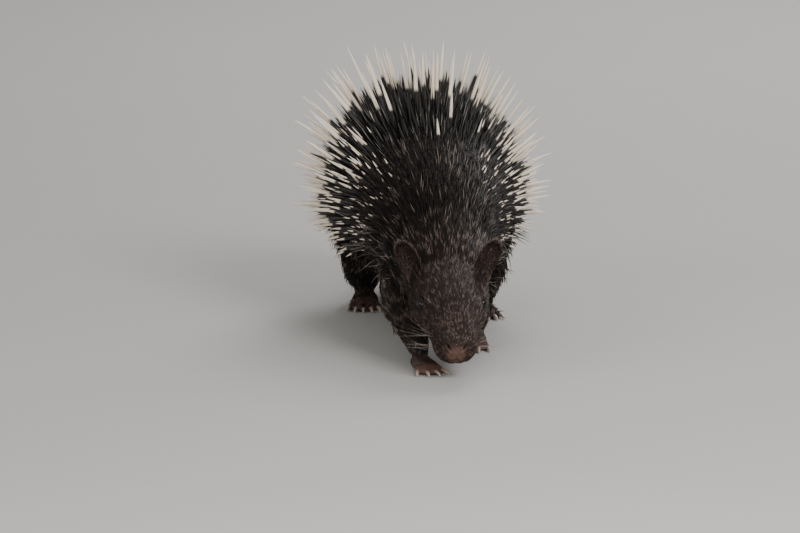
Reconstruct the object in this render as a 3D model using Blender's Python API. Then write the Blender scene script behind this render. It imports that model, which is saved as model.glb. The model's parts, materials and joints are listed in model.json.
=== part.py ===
"""A walking thick-spined porcupine, a still life-size model.

Metres, +Z up. The nose points along -Y, the animal's left side is +X, and all
four soles lie on the plane z = 0. The body is one smooth trunk from nose to
tail, parted by thin flat cuts, with legs, ears, eyes and claws set on it.
"""

import math
import random

import bmesh
import bpy
import numpy as np
from mathutils import Matrix, Vector
from mathutils.bvhtree import BVHTree

GAP = 0.0003
SEED = 7
HEAD_SIDES = 24
HEAD_RINGS = 17
TORSO_SIDES = 28
TAIL_SIDES = 16

# Each station of the trunk: y and z of its middle, half width, height above the
# middle, depth below it, and squareness (2 is an ellipse, more is boxier).
TRUNK = {
    "nose": (0.000, 0.0290, 0.0150, 0.0160, 0.0150, 2.4),
    "muzzle": (0.013, 0.0338, 0.0188, 0.0215, 0.0195, 2.4),
    "snout": (0.032, 0.0430, 0.0228, 0.0270, 0.0240, 2.3),
    "eyes": (0.057, 0.0545, 0.0325, 0.0312, 0.0285, 2.2),
    "cheek": (0.082, 0.0640, 0.0360, 0.0335, 0.0325, 2.1),
    "occiput": (0.104, 0.0720, 0.0380, 0.0360, 0.0355, 2.0),
    "nape": (0.128, 0.0815, 0.0410, 0.0405, 0.0400, 2.0),
    "neck": (0.158, 0.0915, 0.0460, 0.0470, 0.0465, 2.0),
    "shoulder": (0.200, 0.1010, 0.0515, 0.0555, 0.0530, 2.1),
    "chest": (0.245, 0.1060, 0.0585, 0.0620, 0.0580, 2.1),
    "back": (0.300, 0.1090, 0.0660, 0.0670, 0.0600, 2.1),
    "loin": (0.360, 0.1100, 0.0710, 0.0680, 0.0610, 2.1),
    "rump": (0.415, 0.1060, 0.0670, 0.0610, 0.0550, 2.1),
    "haunch": (0.460, 0.0980, 0.0500, 0.0460, 0.0430, 2.0),
    "tail_root": (0.492, 0.0890, 0.0270, 0.0250, 0.0240, 2.0),
    "tail_middle": (0.535, 0.0750, 0.0165, 0.0155, 0.0155, 2.0),
    "tail_end": (0.575, 0.0640, 0.0110, 0.0105, 0.0105, 2.0),
}
NOSE_ROUNDING = 0.011
TAIL_ROUNDING = 0.010
HEAD_CUT = "occiput"
NECK_CUT = "neck"
TAIL_CUT = "tail_root"

# Swellings of the head: station, degrees from the top, height, reach along the
# body and reach round it in degrees. Each is on both sides.
SWELLINGS = (
    ("muzzle", 108, 0.0022, 0.012, 30),
    ("nose", 46, 0.0013, 0.007, 24),
    ("eyes", 38, 0.0018, 0.012, 20),
    ("cheek", 112, 0.0024, 0.020, 28),
)

EYE_STATION = "eyes"
EYE_ANGLE = 68
EYE_RADIUS = 0.0052
EYE_DEPTH = 0.0028
LID_THICKNESS = 0.0013

EAR_STATION = "occiput"
EAR_ANGLE = 59
EAR_FORWARD = 0.006
EAR_LENGTH = 0.033
EAR_WIDTH = 0.0140
EAR_HOLLOW = 0.0070
EAR_THICKNESS = 0.0018

# Nostril slits: half width, half depth, half height, their place on the nose's
# rounding, degrees from the top, and how far they lean apart at the top.
NOSTRIL_SIZE = (0.0015, 0.0038, 0.0032)
NOSTRIL_PLACE = 0.13
NOSTRIL_ANGLE = 66
NOSTRIL_LEAN = 34
# The line of the mouth: where its front lies on the nose's rounding, how far back
# its corners lie as a share of the snout, and the degrees they rise from below.
MOUTH_HALF_WIDTH = 0.0013
MOUTH_DEPTH = 0.0032
MOUTH_FRONT = 0.22
MOUTH_CORNER = 0.86
MOUTH_RISE = 62
CLEFT_HALF_WIDTH = 0.0009
CLEFT_DEPTH = 0.0022

# Legs: joints from the body to the wrist or ankle, each with its radius, on the
# animal's left side (x is mirrored for the right side).
FORELEG_BACK = (
    ((0.020, 0.200, 0.095), 0.031),
    ((0.037, 0.207, 0.064), 0.024),
    ((0.040, 0.220, 0.045), 0.0165),
    ((0.036, 0.204, 0.018), 0.0115),
    ((0.036, 0.197, 0.009), 0.0080),
)
FORELEG_FORWARD = (
    ((0.020, 0.182, 0.094), 0.031),
    ((0.037, 0.160, 0.066), 0.024),
    ((0.041, 0.142, 0.049), 0.0165),
    ((0.030, 0.086, 0.020), 0.0115),
    ((0.028, 0.077, 0.009), 0.0080),
)
HINDLEG_FORWARD = (
    ((0.034, 0.386, 0.098), 0.040),
    ((0.050, 0.364, 0.070), 0.033),
    ((0.056, 0.350, 0.047), 0.0225),
    ((0.053, 0.384, 0.018), 0.0130),
    ((0.053, 0.380, 0.009), 0.0085),
)
HINDLEG_BACK = (
    ((0.034, 0.402, 0.098), 0.040),
    ((0.050, 0.398, 0.070), 0.033),
    ((0.056, 0.402, 0.047), 0.0225),
    ((0.053, 0.438, 0.018), 0.0130),
    ((0.053, 0.434, 0.009), 0.0085),
)
# Each foot's sole, the toes on it and the claws on them.
FORE_FOOT = {"length": 0.046, "half_width": 0.0125, "height": 0.0125, "toes": 4}
HIND_FOOT = {"length": 0.060, "half_width": 0.0140, "height": 0.0130, "toes": 5}
TOE_LENGTH = 0.013
TOE_RADIUS = 0.0040
TOE_END_RADIUS = 0.0030
CLAW_LENGTH = 0.0125
CLAW_RADIUS = 0.0023
ANKLE_CUT = 0.020
SOLE_SINK = 0.0022

# The quills of the torso, by place from the neck cut (0) to the tail cut (1):
# length along the top, degrees off the skin, and width.
QUILL_PLACE = (0.16, 0.32, 0.48, 0.66, 0.84, 1.00)
QUILL_LENGTH = (0.036, 0.060, 0.102, 0.121, 0.108, 0.070)
QUILL_LIFT = (18, 34, 52, 58, 54, 42)
QUILL_WIDTH = (0.0050, 0.0046, 0.0046, 0.0048, 0.0046, 0.0042)
# A quill's width at shares of its length, out to its point.
QUILL_PROFILE = ((0.42, 1.0), (1.0, 0))
QUILL_BEND = 0.03
# How a coat's length falls off, by degrees from the top of the back to the belly.
ROUND_DEGREES = (0, 25, 50, 90, 120, 150)
ROUND_SHARE = (1.0, 0.97, 0.80, 0.57, 0.36, 0.20)
# The quills start at this share of the torso's length, behind the shoulders' locks.
QUILLS_START = 0.27
# Locks of bristles, by the same place: on the neck (below 0) and the shoulders.
LOCK_PLACE = (-0.18, -0.08, 0.0, 0.14, 0.27)
LOCK_LENGTH = (0.020, 0.026, 0.030, 0.036, 0.046)
LOCK_LIFT = (18, 20, 22, 26, 34)
LOCK_WIDTH = 0.0095
LOCK_FLATNESS = 0.34
LOCK_BEND = 0.16
LOCK_PROFILE = ((0.32, 1.0), (0.68, 0.74), (1.0, 0))
# The tail's quills, from its root to its tip.
TAIL_QUILL_LENGTH = (0.062, 0.050, 0.036)
TAIL_QUILL_WIDTH = 0.0040
TAIL_QUILL_LIFT = 30
# Roots: spacing along the trunk and round it, degrees down each side, and how far
# the first and last row keep from the ends of the stretch.
NECK_ROOTS = {"along": 0.0118, "round_": 0.0165, "widest": 150, "ends": (0.006, 0.004)}
SHOULDER_ROOTS = {"along": 0.0150, "round_": 0.0200, "widest": 125, "ends": (0.008, 0.0)}
QUILL_ROOTS = {"along": 0.0148, "round_": 0.0162, "widest": 128, "ends": (0.0, 0.008)}
TAIL_ROOTS = {"along": 0.0130, "round_": 0.0150, "widest": 150, "ends": (0.008, 0.006)}
ROOT_SINK = 0.0055
ROOT_DEPTH = 0.0020
# How much spines differ: share of the spacing, share of the length, and degrees.
PLACE_SPREAD = 0.22
LENGTH_SPREAD = (0.88, 1.08)
LIFT_SPREAD = 5
TURN_SPREAD = 7
FLOOR_CLEARANCE = 0.006
# Tries to bring a spine clear of a neighbour: share of its lift and of its length.
CLEARING = ((1, 1), (1.2, 1), (1.45, 0.95), (0.8, 1), (1.8, 0.85), (1.2, 0.7), (1.8, 0.6))

BLACK_BROWN = (0.020, 0.016, 0.014)
DARK_BROWN = (0.045, 0.033, 0.028)
FACE_BROWN = (0.085, 0.060, 0.052)
HORN_GREY = (0.30, 0.24, 0.19)
EYE_BLACK = (0.004, 0.003, 0.003)


def hermite(known_x, known_y, x):
    """A smooth curve through (known_x, known_y), one column at a time."""
    slopes = np.gradient(known_y, known_x, axis=0)
    i = np.clip(np.searchsorted(known_x, x) - 1, 0, len(known_x) - 2)
    step = (known_x[i + 1] - known_x[i])[:, None]
    t = ((x - known_x[i])[:, None]) / step
    return (
        (2 * t**3 - 3 * t**2 + 1) * known_y[i]
        + (t**3 - 2 * t**2 + t) * step * slopes[i]
        + (3 * t**2 - 2 * t**3) * known_y[i + 1]
        + (t**3 - t**2) * step * slopes[i + 1]
    )


STATION_ROWS = np.array(list(TRUNK.values()))
STATION_S = np.concatenate(
    [[0], np.cumsum(np.hypot(*np.diff(STATION_ROWS[:, :2], axis=0).T))]
)
STATION_AT = dict(zip(TRUNK, STATION_S))
TRUNK_LENGTH = STATION_S[-1]


def trunk(s, angle, extra=0.0):
    """The trunk's surface at distance s along it and an angle from its top, in radians.

    extra pushes the surface out, as for a coat or for a gap. Arrays of one
    shape give an array with x, y and z in the last column.
    """
    s, angle, extra = np.broadcast_arrays(
        np.asarray(s, float), np.asarray(angle, float), np.asarray(extra, float)
    )
    shape = s.shape
    s, angle, extra = s.ravel(), angle.ravel(), extra.ravel()
    row = hermite(STATION_S, STATION_ROWS, s)
    ahead = hermite(STATION_S, STATION_ROWS, np.clip(s + 0.002, 0, TRUNK_LENGTH))
    behind = hermite(STATION_S, STATION_ROWS, np.clip(s - 0.002, 0, TRUNK_LENGTH))
    run = ahead[:, :2] - behind[:, :2]
    run /= np.linalg.norm(run, axis=1)[:, None]
    nose = np.clip(1 - s / NOSE_ROUNDING, 0, 1)
    tail = np.clip(1 - (TRUNK_LENGTH - s) / TAIL_ROUNDING, 0, 1)
    closing = np.sqrt(np.clip(1 - nose**2, 0, 1) * np.clip(1 - tail**2, 0, 1))
    swell = np.zeros(len(s))
    for station, degrees, height, along, round_ in SWELLINGS:
        off = np.degrees(np.abs(angle)) - degrees
        reach = ((s - STATION_AT[station]) / along) ** 2 + (off / round_) ** 2
        swell += height * np.exp(-reach)
    power = 2 / row[:, 5]
    across, rise = np.sin(angle), np.cos(angle)
    half = np.where(rise > 0, row[:, 3], row[:, 4])
    x = np.sign(across) * np.abs(across) ** power * (row[:, 2] + swell + extra)
    h = np.sign(rise) * np.abs(rise) ** power * (half + swell + extra)
    x, h = x * closing, h * closing
    points = np.column_stack([x, row[:, 0] - run[:, 1] * h, row[:, 1] + run[:, 0] * h])
    return points.reshape(*shape, 3)


def trunk_normal(s, angle, step=0.002):
    """Outward unit normal of the trunk, with the unit direction towards the tail."""
    back = trunk(s + step, angle) - trunk(s - step, angle)
    side = trunk(s, angle + 0.05) - trunk(s, angle - 0.05)
    back = Vector(back).normalized()
    normal = back.cross(Vector(side)).normalized()
    outward = Vector(trunk(s, angle)) - Vector(trunk(s, 0)).lerp(
        Vector(trunk(s, math.pi)), 0.5
    )
    return (normal if normal.dot(outward) > 0 else -normal), back


def material(name, colour, roughness):
    made = bpy.data.materials.new(name)
    made.use_nodes = True
    shader = made.node_tree.nodes["Principled BSDF"]
    shader.inputs["Base Color"].default_value = (*colour, 1.0)
    shader.inputs["Roughness"].default_value = roughness
    shader.inputs["Metallic"].default_value = 0.0
    return made


def mesh_object(name, points, faces, finish=None):
    """An object from points and faces, with its normals turned outwards."""
    mesh = bpy.data.meshes.new(name)
    mesh.from_pydata([tuple(p) for p in points], [], faces)
    made = bpy.data.objects.new(name, mesh)
    bpy.context.scene.collection.objects.link(made)
    shaped = bmesh.new()
    shaped.from_mesh(mesh)
    bmesh.ops.recalc_face_normals(shaped, faces=shaped.faces)
    if shaped.calc_volume(signed=True) < 0:
        bmesh.ops.reverse_faces(shaped, faces=shaped.faces)
    shaped.to_mesh(mesh)
    shaped.free()
    if finish:
        mesh.materials.append(finish)
    return made


def loft(name, rings, finish=None):
    """A closed solid through rings of points. A ring of one point is a pole."""
    points = np.concatenate(rings)
    starts = np.concatenate([[0], np.cumsum([len(r) for r in rings])])
    faces = []
    for i in range(len(rings) - 1):
        a, b = int(starts[i]), int(starts[i + 1])
        n = max(len(rings[i]), len(rings[i + 1]))
        for k in range(n):
            j = (k + 1) % n
            if len(rings[i]) == 1:
                faces.append((a, b + k, b + j))
            elif len(rings[i + 1]) == 1:
                faces.append((a + k, a + j, b))
            else:
                faces.append((a + k, a + j, b + j, b + k))
    for i in (0, len(rings) - 1):
        if len(rings[i]) > 1:
            faces.append(tuple(range(int(starts[i]), int(starts[i]) + len(rings[i]))))
    return mesh_object(name, points, faces, finish)


def apply_modifiers(thing):
    """Replaces the object's mesh by its evaluated one and drops its modifiers."""
    bpy.context.view_layer.update()
    graph = bpy.context.evaluated_depsgraph_get()
    mesh = bpy.data.meshes.new_from_object(thing.evaluated_get(graph))
    thing.modifiers.clear()
    thing.data = mesh


def keep_largest(thing):
    """Keeps only the closed surface of greatest volume."""
    shaped = bmesh.new()
    shaped.from_mesh(thing.data)
    left = set(shaped.faces)
    shells = []
    while left:
        shell, front = set(), [left.pop()]
        while front:
            face = front.pop()
            shell.add(face)
            for edge in face.edges:
                for other in edge.link_faces:
                    if other in left:
                        left.remove(other)
                        front.append(other)
        shells.append(shell)

    def volume(shell):
        return sum(
            f.calc_center_median().dot(f.normal) * f.calc_area() for f in shell
        )

    largest = max(shells, key=volume)
    spare = [f for shell in shells if shell is not largest for f in shell]
    bmesh.ops.delete(shaped, geom=spare, context="FACES")
    shaped.to_mesh(thing.data)
    shaped.free()


def tidy(thing, distance=0.00001):
    """Merges points that a Boolean left almost together, and splits into triangles."""
    shaped = bmesh.new()
    shaped.from_mesh(thing.data)
    bmesh.ops.remove_doubles(shaped, verts=shaped.verts, dist=distance)
    bmesh.ops.dissolve_degenerate(shaped, edges=shaped.edges, dist=distance)
    bmesh.ops.triangulate(shaped, faces=shaped.faces)
    shaped.to_mesh(thing.data)
    shaped.free()
    keep_largest(thing)


def boolean(thing, others, operation, solver="EXACT"):
    """Joins others to a solid, or cuts them from it, in one step, and removes them."""
    group = bpy.data.collections.new("joined")
    bpy.context.scene.collection.children.link(group)
    for other in others:
        bpy.context.scene.collection.objects.unlink(other)
        group.objects.link(other)
    step = thing.modifiers.new("joined", "BOOLEAN")
    step.operation = operation
    step.operand_type = "COLLECTION"
    step.collection = group
    step.solver = solver
    apply_modifiers(thing)
    for other in others:
        mesh = other.data
        bpy.data.objects.remove(other)
        bpy.data.meshes.remove(mesh)
    bpy.data.collections.remove(group)
    keep_largest(thing)


def cut_flat(thing, point, normal):
    """Cuts away what lies on the side of the plane that the normal points to."""
    shaped = bmesh.new()
    shaped.from_mesh(thing.data)
    geometry = list(shaped.verts) + list(shaped.edges) + list(shaped.faces)
    bmesh.ops.bisect_plane(
        shaped, geom=geometry, plane_co=point, plane_no=normal, clear_outer=True
    )
    rim = [e for e in shaped.edges if e.is_boundary]
    bmesh.ops.edgeloop_fill(shaped, edges=rim)
    bmesh.ops.recalc_face_normals(shaped, faces=shaped.faces)
    shaped.to_mesh(thing.data)
    shaped.free()


def copy_of(thing, name):
    made = bpy.data.objects.new(name, thing.data.copy())
    bpy.context.scene.collection.objects.link(made)
    return made


def tree_of(thing):
    return BVHTree.FromPolygons(
        [v.co.copy() for v in thing.data.vertices],
        [tuple(p.vertices) for p in thing.data.polygons],
    )


def is_clear(points, radii, trees):
    """True if the path crosses no surface and keeps its radius and a gap from each."""
    for start, point, radius in zip(points, points[1:], radii[1:]):
        way = point - start
        for tree in trees:
            if tree.ray_cast(start, way.normalized(), way.length)[0] is not None:
                return False
            if tree.find_nearest(point)[3] < radius + 2 * GAP:
                return False
    return True


def signed_angles(sides):
    """Even angles from the top, with those past the belly counted backwards."""
    angles = np.linspace(0, 2 * math.pi, sides, endpoint=False)
    return np.where(angles > math.pi + 1e-9, angles - 2 * math.pi, angles)


def trunk_rings(places, sides, extra=0.0):
    """Rings of the trunk at distances along it, pushed out by extra."""
    angles = signed_angles(sides)
    return [trunk(np.full(sides, s), angles, extra) for s in places]


def places_between(first, last, spacing):
    """Even distances along the trunk between two cuts, a gap apart from each."""
    first, last = first + GAP / 2, last - GAP / 2
    return np.linspace(first, last, max(2, int(round((last - first) / spacing)) + 1))


def coat_place(s):
    """0 at the neck cut and 1 at the tail cut."""
    first, last = STATION_AT[NECK_CUT], STATION_AT[TAIL_CUT]
    return (s - first) / (last - first)


def surface_frame(station, degrees):
    """Point, outward normal and backward direction on the trunk."""
    angle = math.radians(degrees)
    s = STATION_AT[station]
    normal, back = trunk_normal(s, angle)
    return Vector(trunk(s, angle)), normal, back


def ball(name, centre, radius, rings=8, sides=12, finish=None, scale=(1, 1, 1), turn=None):
    """A sphere or, with scale and turn, an egg."""
    layers = [np.array([[0.0, 0.0, 1.0]])]
    for k in range(1, rings):
        a = math.pi * k / rings
        around = np.linspace(0, 2 * math.pi, sides, endpoint=False)
        layers.append(
            np.column_stack(
                [
                    math.sin(a) * np.cos(around),
                    math.sin(a) * np.sin(around),
                    np.full(sides, math.cos(a)),
                ]
            )
        )
    layers.append(np.array([[0.0, 0.0, -1.0]]))
    turned = np.array(turn if turn else Matrix.Identity(3))
    size = radius * np.array(scale)
    return loft(name, [(r * size) @ turned.T + np.array(centre) for r in layers], finish)


def tube(name, path, radii, sides, finish=None, side_hint=(1, 0, 0), flat=1.0):
    """A round or flattened solid along a path, one ring to each point.

    A radius of 0 closes the tube in a point. flat is the second radius as a
    share of the first, which lies along side_hint.
    """
    path = np.array(path, float)
    run = np.gradient(path, axis=0)
    rings = []
    around = np.linspace(0, 2 * math.pi, sides, endpoint=False)
    for point, ahead, radius in zip(path, run, radii):
        if radius == 0:
            rings.append(point[None])
            continue
        ahead = ahead / np.linalg.norm(ahead)
        a = np.array(side_hint, float)
        a = a - ahead * (a @ ahead)
        a /= np.linalg.norm(a)
        b = np.cross(ahead, a)
        rings.append(
            point
            + radius * np.outer(np.cos(around), a)
            + radius * flat * np.outer(np.sin(around), b)
        )
    return loft(name, rings, finish)


def smooth_path(joints, count):
    """Points and radii along a smooth curve through joints."""
    rows = np.array([[*p, r] for p, r in joints])
    run = np.concatenate(
        [[0], np.cumsum(np.linalg.norm(np.diff(rows[:, :3], axis=0), axis=1))]
    )
    found = hermite(run, rows, np.linspace(0, run[-1], count))
    return found[:, :3], found[:, 3]


def head_places():
    """Distances along the head, closer together where the nose rounds off."""
    nose = [NOSE_ROUNDING * (1 - math.cos(math.radians(a))) for a in (22, 45, 68)]
    end = STATION_AT[HEAD_CUT] - GAP / 2
    return np.concatenate([nose, np.linspace(NOSE_ROUNDING, end, HEAD_RINGS)])


def neck_places():
    return places_between(STATION_AT[HEAD_CUT], STATION_AT[NECK_CUT], 0.012)


def torso_places():
    return places_between(STATION_AT[NECK_CUT], STATION_AT[TAIL_CUT], 0.020)


def make_head(coat):
    """Head with brow, cheeks, lids, eye sockets, nostrils and the line of the mouth."""
    rings = [trunk(np.array([0.0]), np.array([0.0]))]
    head = loft("head", rings + trunk_rings(head_places(), HEAD_SIDES), coat)
    lids, sockets = [], []
    for side in (-1, 1):
        place, normal, back = surface_frame(EYE_STATION, side * EYE_ANGLE)
        centre = place - normal * EYE_DEPTH
        lids.append(eye_ring(centre, normal, back))
        sockets.append(ball("socket", centre, EYE_RADIUS + GAP, 8, 14))
    boolean(head, lids, "UNION")
    boolean(head, sockets + nostrils() + [mouth_line(), lip_cleft()], "DIFFERENCE")
    tidy(head)
    return head


def eye_ring(centre, normal, back):
    """The upper and lower lids as one raised almond ring."""
    up = normal.cross(back)
    around = np.linspace(0, 2 * math.pi, 14, endpoint=False)
    section = np.linspace(0, 2 * math.pi, 6, endpoint=False)
    major = EYE_RADIUS * 1.02
    height = EYE_DEPTH * 0.9
    points, faces = [], []
    for a in around:
        out = back * math.cos(a) * 1.18 + up * math.sin(a) * 0.86
        for b in section:
            offset = out * (major + LID_THICKNESS * math.cos(b))
            lift = normal * (height + LID_THICKNESS * math.sin(b))
            points.append(centre + offset + lift)
    n, m = len(around), len(section)
    for i in range(n):
        for j in range(m):
            a, b = i * m, ((i + 1) % n) * m
            k = (j + 1) % m
            faces.append((a + j, b + j, b + k, a + k))
    return mesh_object("lids", points, faces)


def nostrils():
    """Two slanting slits in the front of the nose."""
    made = []
    for side in (-1, 1):
        angle = side * math.radians(NOSTRIL_ANGLE)
        place = Vector(trunk(NOSE_ROUNDING * NOSTRIL_PLACE, angle))
        turn = Matrix.Rotation(side * math.radians(NOSTRIL_LEAN), 3, "Y")
        made.append(ball("nostril", place, 1.0, 6, 8, None, NOSTRIL_SIZE, turn))
    return made


def groove(name, places, angles, half_width, depth):
    """A wedge of even width that follows the surface, to cut a groove with."""
    path = np.array([trunk(s, a) for s, a in zip(places, angles)])
    run = np.gradient(path, axis=0)
    rings = []
    for s, angle, point, ahead in zip(places, angles, path, run):
        out = np.array(trunk_normal(s, angle, 0.0005)[0])
        across = np.cross(ahead, out)
        across *= half_width / np.linalg.norm(across)
        top, bottom = point + out * half_width, point - out * depth
        rings.append(np.array([top + across, top - across, bottom]))
    return loft(name, rings)


def mouth_line():
    """A thin groove under the front of the muzzle and up to both corners of the mouth."""
    share = np.linspace(-1, 1, 17)
    front, corner = NOSE_ROUNDING * MOUTH_FRONT, STATION_AT["snout"] * MOUTH_CORNER
    places = front + (corner - front) * np.abs(share) ** 1.5
    angles = math.pi - share * math.radians(MOUTH_RISE)
    return groove("mouth", places, angles, MOUTH_HALF_WIDTH, MOUTH_DEPTH)


def lip_cleft():
    """The short upright cleft from between the nostrils down to the line of the mouth."""
    places = NOSE_ROUNDING * np.linspace(NOSTRIL_PLACE * 0.6, MOUTH_FRONT, 4)
    return groove("cleft", places, np.full(4, math.pi), CLEFT_HALF_WIDTH, CLEFT_DEPTH)


def make_eye(name, side, finish):
    place, normal, _ = surface_frame(EYE_STATION, side * EYE_ANGLE)
    turn = Vector((0, 0, 1)).rotation_difference(normal).to_matrix()
    centre = place - normal * EYE_DEPTH
    return ball(name, centre, EYE_RADIUS, 9, 12, finish, turn=turn)


def make_ear(name, side, coat):
    """A rounded ear, hollow in front, rooted on the head and cut clear of it."""
    place, normal, back = surface_frame(EAR_STATION, side * EAR_ANGLE)
    place -= back * EAR_FORWARD
    grow = (normal * 0.45 + back * 0.42 + Vector((0, 0, 0.62))).normalized()
    front = (normal * 0.72 - back * 0.60).normalized()
    across = grow.cross(front).normalized()
    front = across.cross(grow)
    rows, columns = 8, 9
    points, faces = [], []
    for i in range(rows):
        v = math.sin(0.5 * math.pi * i / (rows - 1))
        rounding = math.sqrt(1 - (0.97 * v) ** 3)
        wide = EAR_WIDTH * (0.62 + 0.55 * v) * rounding
        for j in range(columns):
            a = math.radians(-90 + 180 * j / (columns - 1))
            curl = front * (-EAR_HOLLOW * (0.35 + 0.65 * rounding) * math.cos(a))
            lean = front * (EAR_HOLLOW * 0.5 * v**2)
            up = grow * (-0.006 + (EAR_LENGTH + 0.006) * v)
            points.append(place + up + across * wide * math.sin(a) + curl + lean)
    for i in range(rows - 1):
        for j in range(columns - 1):
            a = i * columns + j
            faces.append((a, a + 1, a + columns + 1, a + columns))
    ear = mesh_object(name, points, faces, coat)
    wall = ear.modifiers.new("wall", "SOLIDIFY")
    wall.thickness = EAR_THICKNESS
    wall.offset = 0
    apply_modifiers(ear)
    rings = trunk_rings(head_places(), HEAD_SIDES, GAP)
    rings += trunk_rings(neck_places(), HEAD_SIDES, GAP)
    boolean(ear, [loft("head_clearance", rings)], "DIFFERENCE")
    tidy(ear)
    return ear


def make_spine(s, angle, length, width, flat, lift, turn, bend, profile):
    """One quill or lock, as points and radii along it and the rings of its solid.

    It leaves the skin at the angle lift, turned from the way to the tail, and
    bends back towards the skin. flat is its thickness as a share of its width,
    and profile gives its width at places along it, the last one its point.
    """
    normal, back = trunk_normal(s, angle)
    root = Vector(trunk(s, angle))
    side = normal.cross(back)
    way = back * math.cos(turn) + side * math.sin(turn)
    rise = normal * math.sin(lift) + way * math.cos(lift)
    across = rise.cross(normal).normalized()
    depth = rise.cross(across)

    def middle(share):
        return root + rise * (length * share) - normal * (bend * length * share**2)

    sunk = root - rise * ROOT_SINK - normal * ROOT_DEPTH
    rings = []
    for point, wide in [(sunk, profile[0][1])] + [(middle(t), wide) for t, wide in profile]:
        if wide == 0:
            rings.append(np.array([point]))
            continue
        half = across * (0.5 * width * wide)
        thick = depth * (0.5 * width * wide * flat)
        rings.append(np.array([point + half, point + thick, point - half, point - thick]))
    shares = np.linspace(0.0, 1.0, 11)
    known, wides = zip(*profile)
    radii = 0.5 * width * np.interp([0, *shares], known, wides)
    return [sunk] + [middle(t) for t in shares], radii, rings


def root_places(first, last, draw, along, round_, widest, ends):
    """Staggered rows of roots: distance along the trunk and angle from its top."""
    first, last = first + ends[0], last - ends[1]
    rows = int(round((last - first) / along))
    places = []
    for i in range(rows):
        s = first + (i + 0.5) * (last - first) / rows
        row = hermite(STATION_S, STATION_ROWS, np.array([s]))[0]
        radius = (row[2] * 2 + row[3] + row[4]) / 4
        arc = math.radians(widest)
        count = max(3, int(round(2 * arc * radius / round_)))
        for k in range(count):
            step = (k + 0.25 + 0.5 * (i % 2) + draw.uniform(-PLACE_SPREAD, PLACE_SPREAD)) / count
            ahead = draw.uniform(-PLACE_SPREAD, PLACE_SPREAD) * along
            places.append((s + ahead, arc * (2 * step - 1)))
    return places


def grow(places, sizes, profile, draw, trees):
    """Spines at all places, each raised, lowered or shortened until it is clear."""
    made = []
    for s, angle in places:
        length, width, flat, lift, bend = sizes(s, angle)
        length *= draw.uniform(*LENGTH_SPREAD)
        lift += math.radians(draw.uniform(-LIFT_SPREAD, LIFT_SPREAD))
        turn = math.radians(draw.uniform(-TURN_SPREAD, TURN_SPREAD))
        for raised, shorter in CLEARING:
            shape = (length * shorter, width, flat, lift * raised, turn, bend, profile)
            spine = make_spine(s, angle, *shape)
            if min(p.z for p in spine[0]) > FLOOR_CLEARANCE and is_clear(*spine[:2], trees):
                made.append(loft("spine", spine[2]))
                break
    return made


def share_round(angle):
    """How the coat's length falls off from the top of the back round to the belly."""
    return float(np.interp(math.degrees(abs(angle)), ROUND_DEGREES, ROUND_SHARE))


def quill_sizes(s, angle):
    """Length, width, flatness, lift and bend of a quill rooted there."""
    place = coat_place(s)
    length = float(np.interp(place, QUILL_PLACE, QUILL_LENGTH)) * share_round(angle)
    lift = math.radians(float(np.interp(place, QUILL_PLACE, QUILL_LIFT)))
    width = float(np.interp(place, QUILL_PLACE, QUILL_WIDTH))
    return length, width, 1.0, lift, QUILL_BEND


def lock_sizes(s, angle):
    """Length, width, flatness, lift and bend of a lock of bristles rooted there."""
    place = coat_place(s)
    length = float(np.interp(place, LOCK_PLACE, LOCK_LENGTH)) * (0.45 + 0.55 * share_round(angle))
    lift = math.radians(float(np.interp(place, LOCK_PLACE, LOCK_LIFT)))
    return length, LOCK_WIDTH, LOCK_FLATNESS, lift, LOCK_BEND


def make_neck(coat, others):
    """The neck between its two flat cuts, with its bristles in flat locks."""
    draw = random.Random(SEED)
    neck = loft("neck", trunk_rings(neck_places(), HEAD_SIDES), coat)
    torso_core = loft("core", trunk_rings(torso_places(), TORSO_SIDES))
    trees = [tree_of(t) for t in (*others, torso_core)]
    bpy.data.objects.remove(torso_core)
    places = root_places(STATION_AT[HEAD_CUT], STATION_AT[NECK_CUT], draw, **NECK_ROOTS)
    boolean(neck, grow(places, lock_sizes, LOCK_PROFILE, draw, trees), "UNION")
    tidy(neck)
    return neck


def make_torso(coat, others):
    """The torso's body with bristle locks on its shoulders and quills behind them."""
    draw = random.Random(SEED + 1)
    torso = loft("torso", trunk_rings(torso_places(), TORSO_SIDES), coat)
    trees = [tree_of(t) for t in others]
    first, last = STATION_AT[NECK_CUT], STATION_AT[TAIL_CUT]
    middle = first + (last - first) * QUILLS_START
    places = root_places(first, middle, draw, **SHOULDER_ROOTS)
    spines = grow(places, lock_sizes, LOCK_PROFILE, draw, trees)
    places = root_places(middle, last, draw, **QUILL_ROOTS)
    spines += grow(places, quill_sizes, QUILL_PROFILE, draw, trees)
    boolean(torso, spines, "UNION")
    tidy(torso)
    return torso


def tail_sizes(s, angle):
    """Length, width, flatness, lift and bend of a tail quill rooted there."""
    place = (s - STATION_AT[TAIL_CUT]) / (TRUNK_LENGTH - STATION_AT[TAIL_CUT])
    length = float(np.interp(place, (0, 0.6, 1), TAIL_QUILL_LENGTH))
    length *= 0.55 + 0.45 * share_round(angle)
    return length, TAIL_QUILL_WIDTH, 1.0, math.radians(TAIL_QUILL_LIFT), 0.0


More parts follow.
